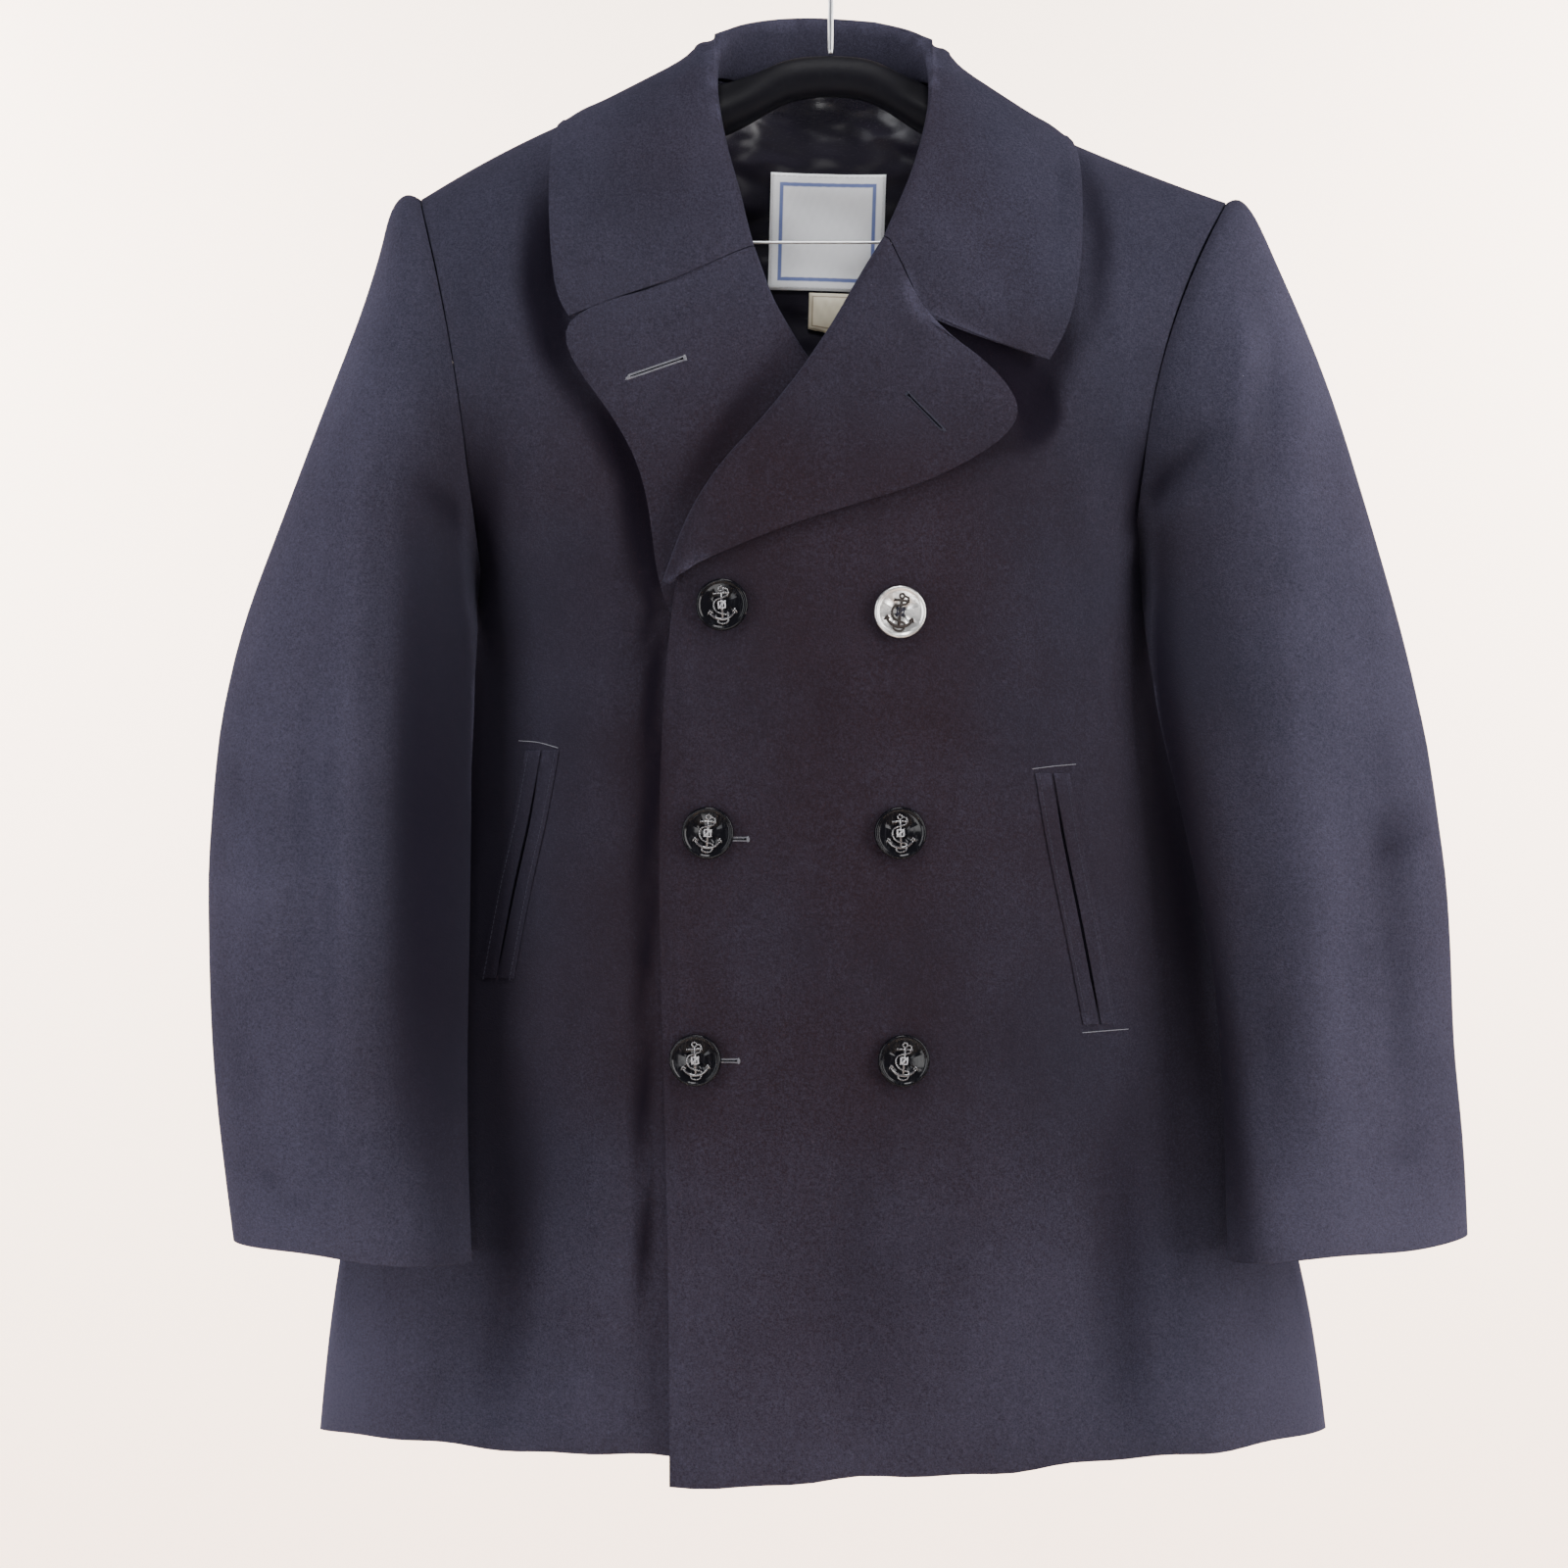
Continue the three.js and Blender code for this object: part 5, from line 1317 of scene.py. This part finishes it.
WALL_PAINT = plain_finish("wall_paint", (0.93, 0.80, 0.71))
floor = plane("floor", [(-ROOM, -ROOM, FLOOR_Z), (ROOM, -ROOM, FLOOR_Z), (ROOM, ROOM, FLOOR_Z),
                        (-ROOM, ROOM, FLOOR_Z)], WALL_PAINT)
wall = plane("wall", [(-ROOM, WALL_Y, FLOOR_Z), (ROOM, WALL_Y, FLOOR_Z), (ROOM, WALL_Y, WALL_TOP),
                      (-ROOM, WALL_Y, WALL_TOP)], WALL_PAINT)
print("stage", floor.name, wall.name)

# %% [markdown]
# ## Light
# Two tall lamps stand at the coat's sides and graze it, so that the folds show; the right one is the
# stronger. One lamp hangs above, a weak one stands low in front, and two wash the wall. A pale world
# keeps the hollows readable.

# %% Lights
LIGHT_ROWS = (
    ("right", (1.05, -0.65, -0.25), (0, 0, -0.5), (0.5, 1.3), 40, (1.0, 0.99, 0.98)),
    ("left", (-1.05, -0.65, -0.40), (0, 0, -0.55), (0.5, 1.3), 24, (0.95, 0.97, 1.0)),
    ("top", (0.0, -0.8, 1.5), (0, 0, -0.4), (0.8, 0.8), 60, (1.0, 1.0, 1.0)),
    ("low_front", (-0.2, -2.8, -1.2), (0, 0, -0.5), (0.9, 0.9), 40, (1.0, 1.0, 1.0)),
    ("wall_wash_left", (-2.4, 1.4, 0.6), (-0.6, 3.2, -0.6), (2.0, 2.0), 430, (1.0, 0.95, 0.90)),
    ("wall_wash_right", (2.4, 1.4, 0.6), (0.6, 3.2, -0.6), (2.0, 2.0), 430, (1.0, 0.95, 0.90)),
)
for name, place, aim, size, watts, colour in LIGHT_ROWS:
    lamp = bpy.data.lights.new(name, "AREA")
    lamp.shape = "RECTANGLE"
    lamp.size, lamp.size_y = size
    lamp.energy = watts
    lamp.color = colour
    holder = placed(name, lamp)
    holder.location = place
    holder.rotation_euler = (Vector(aim) - Vector(place)).to_track_quat("-Z", "Y").to_euler()

world = bpy.data.worlds.new("studio")
bpy.context.scene.world = world
world.use_nodes = True
backdrop = world.node_tree.nodes["Background"]
backdrop.inputs["Color"].default_value = (0.90, 0.93, 1.0, 1)
backdrop.inputs["Strength"].default_value = 0.38
print("lights", len(LIGHT_ROWS))

# %% [markdown]
# ## Last update
# The view layer is updated once more.

# %% Update
bpy.context.view_layer.update()
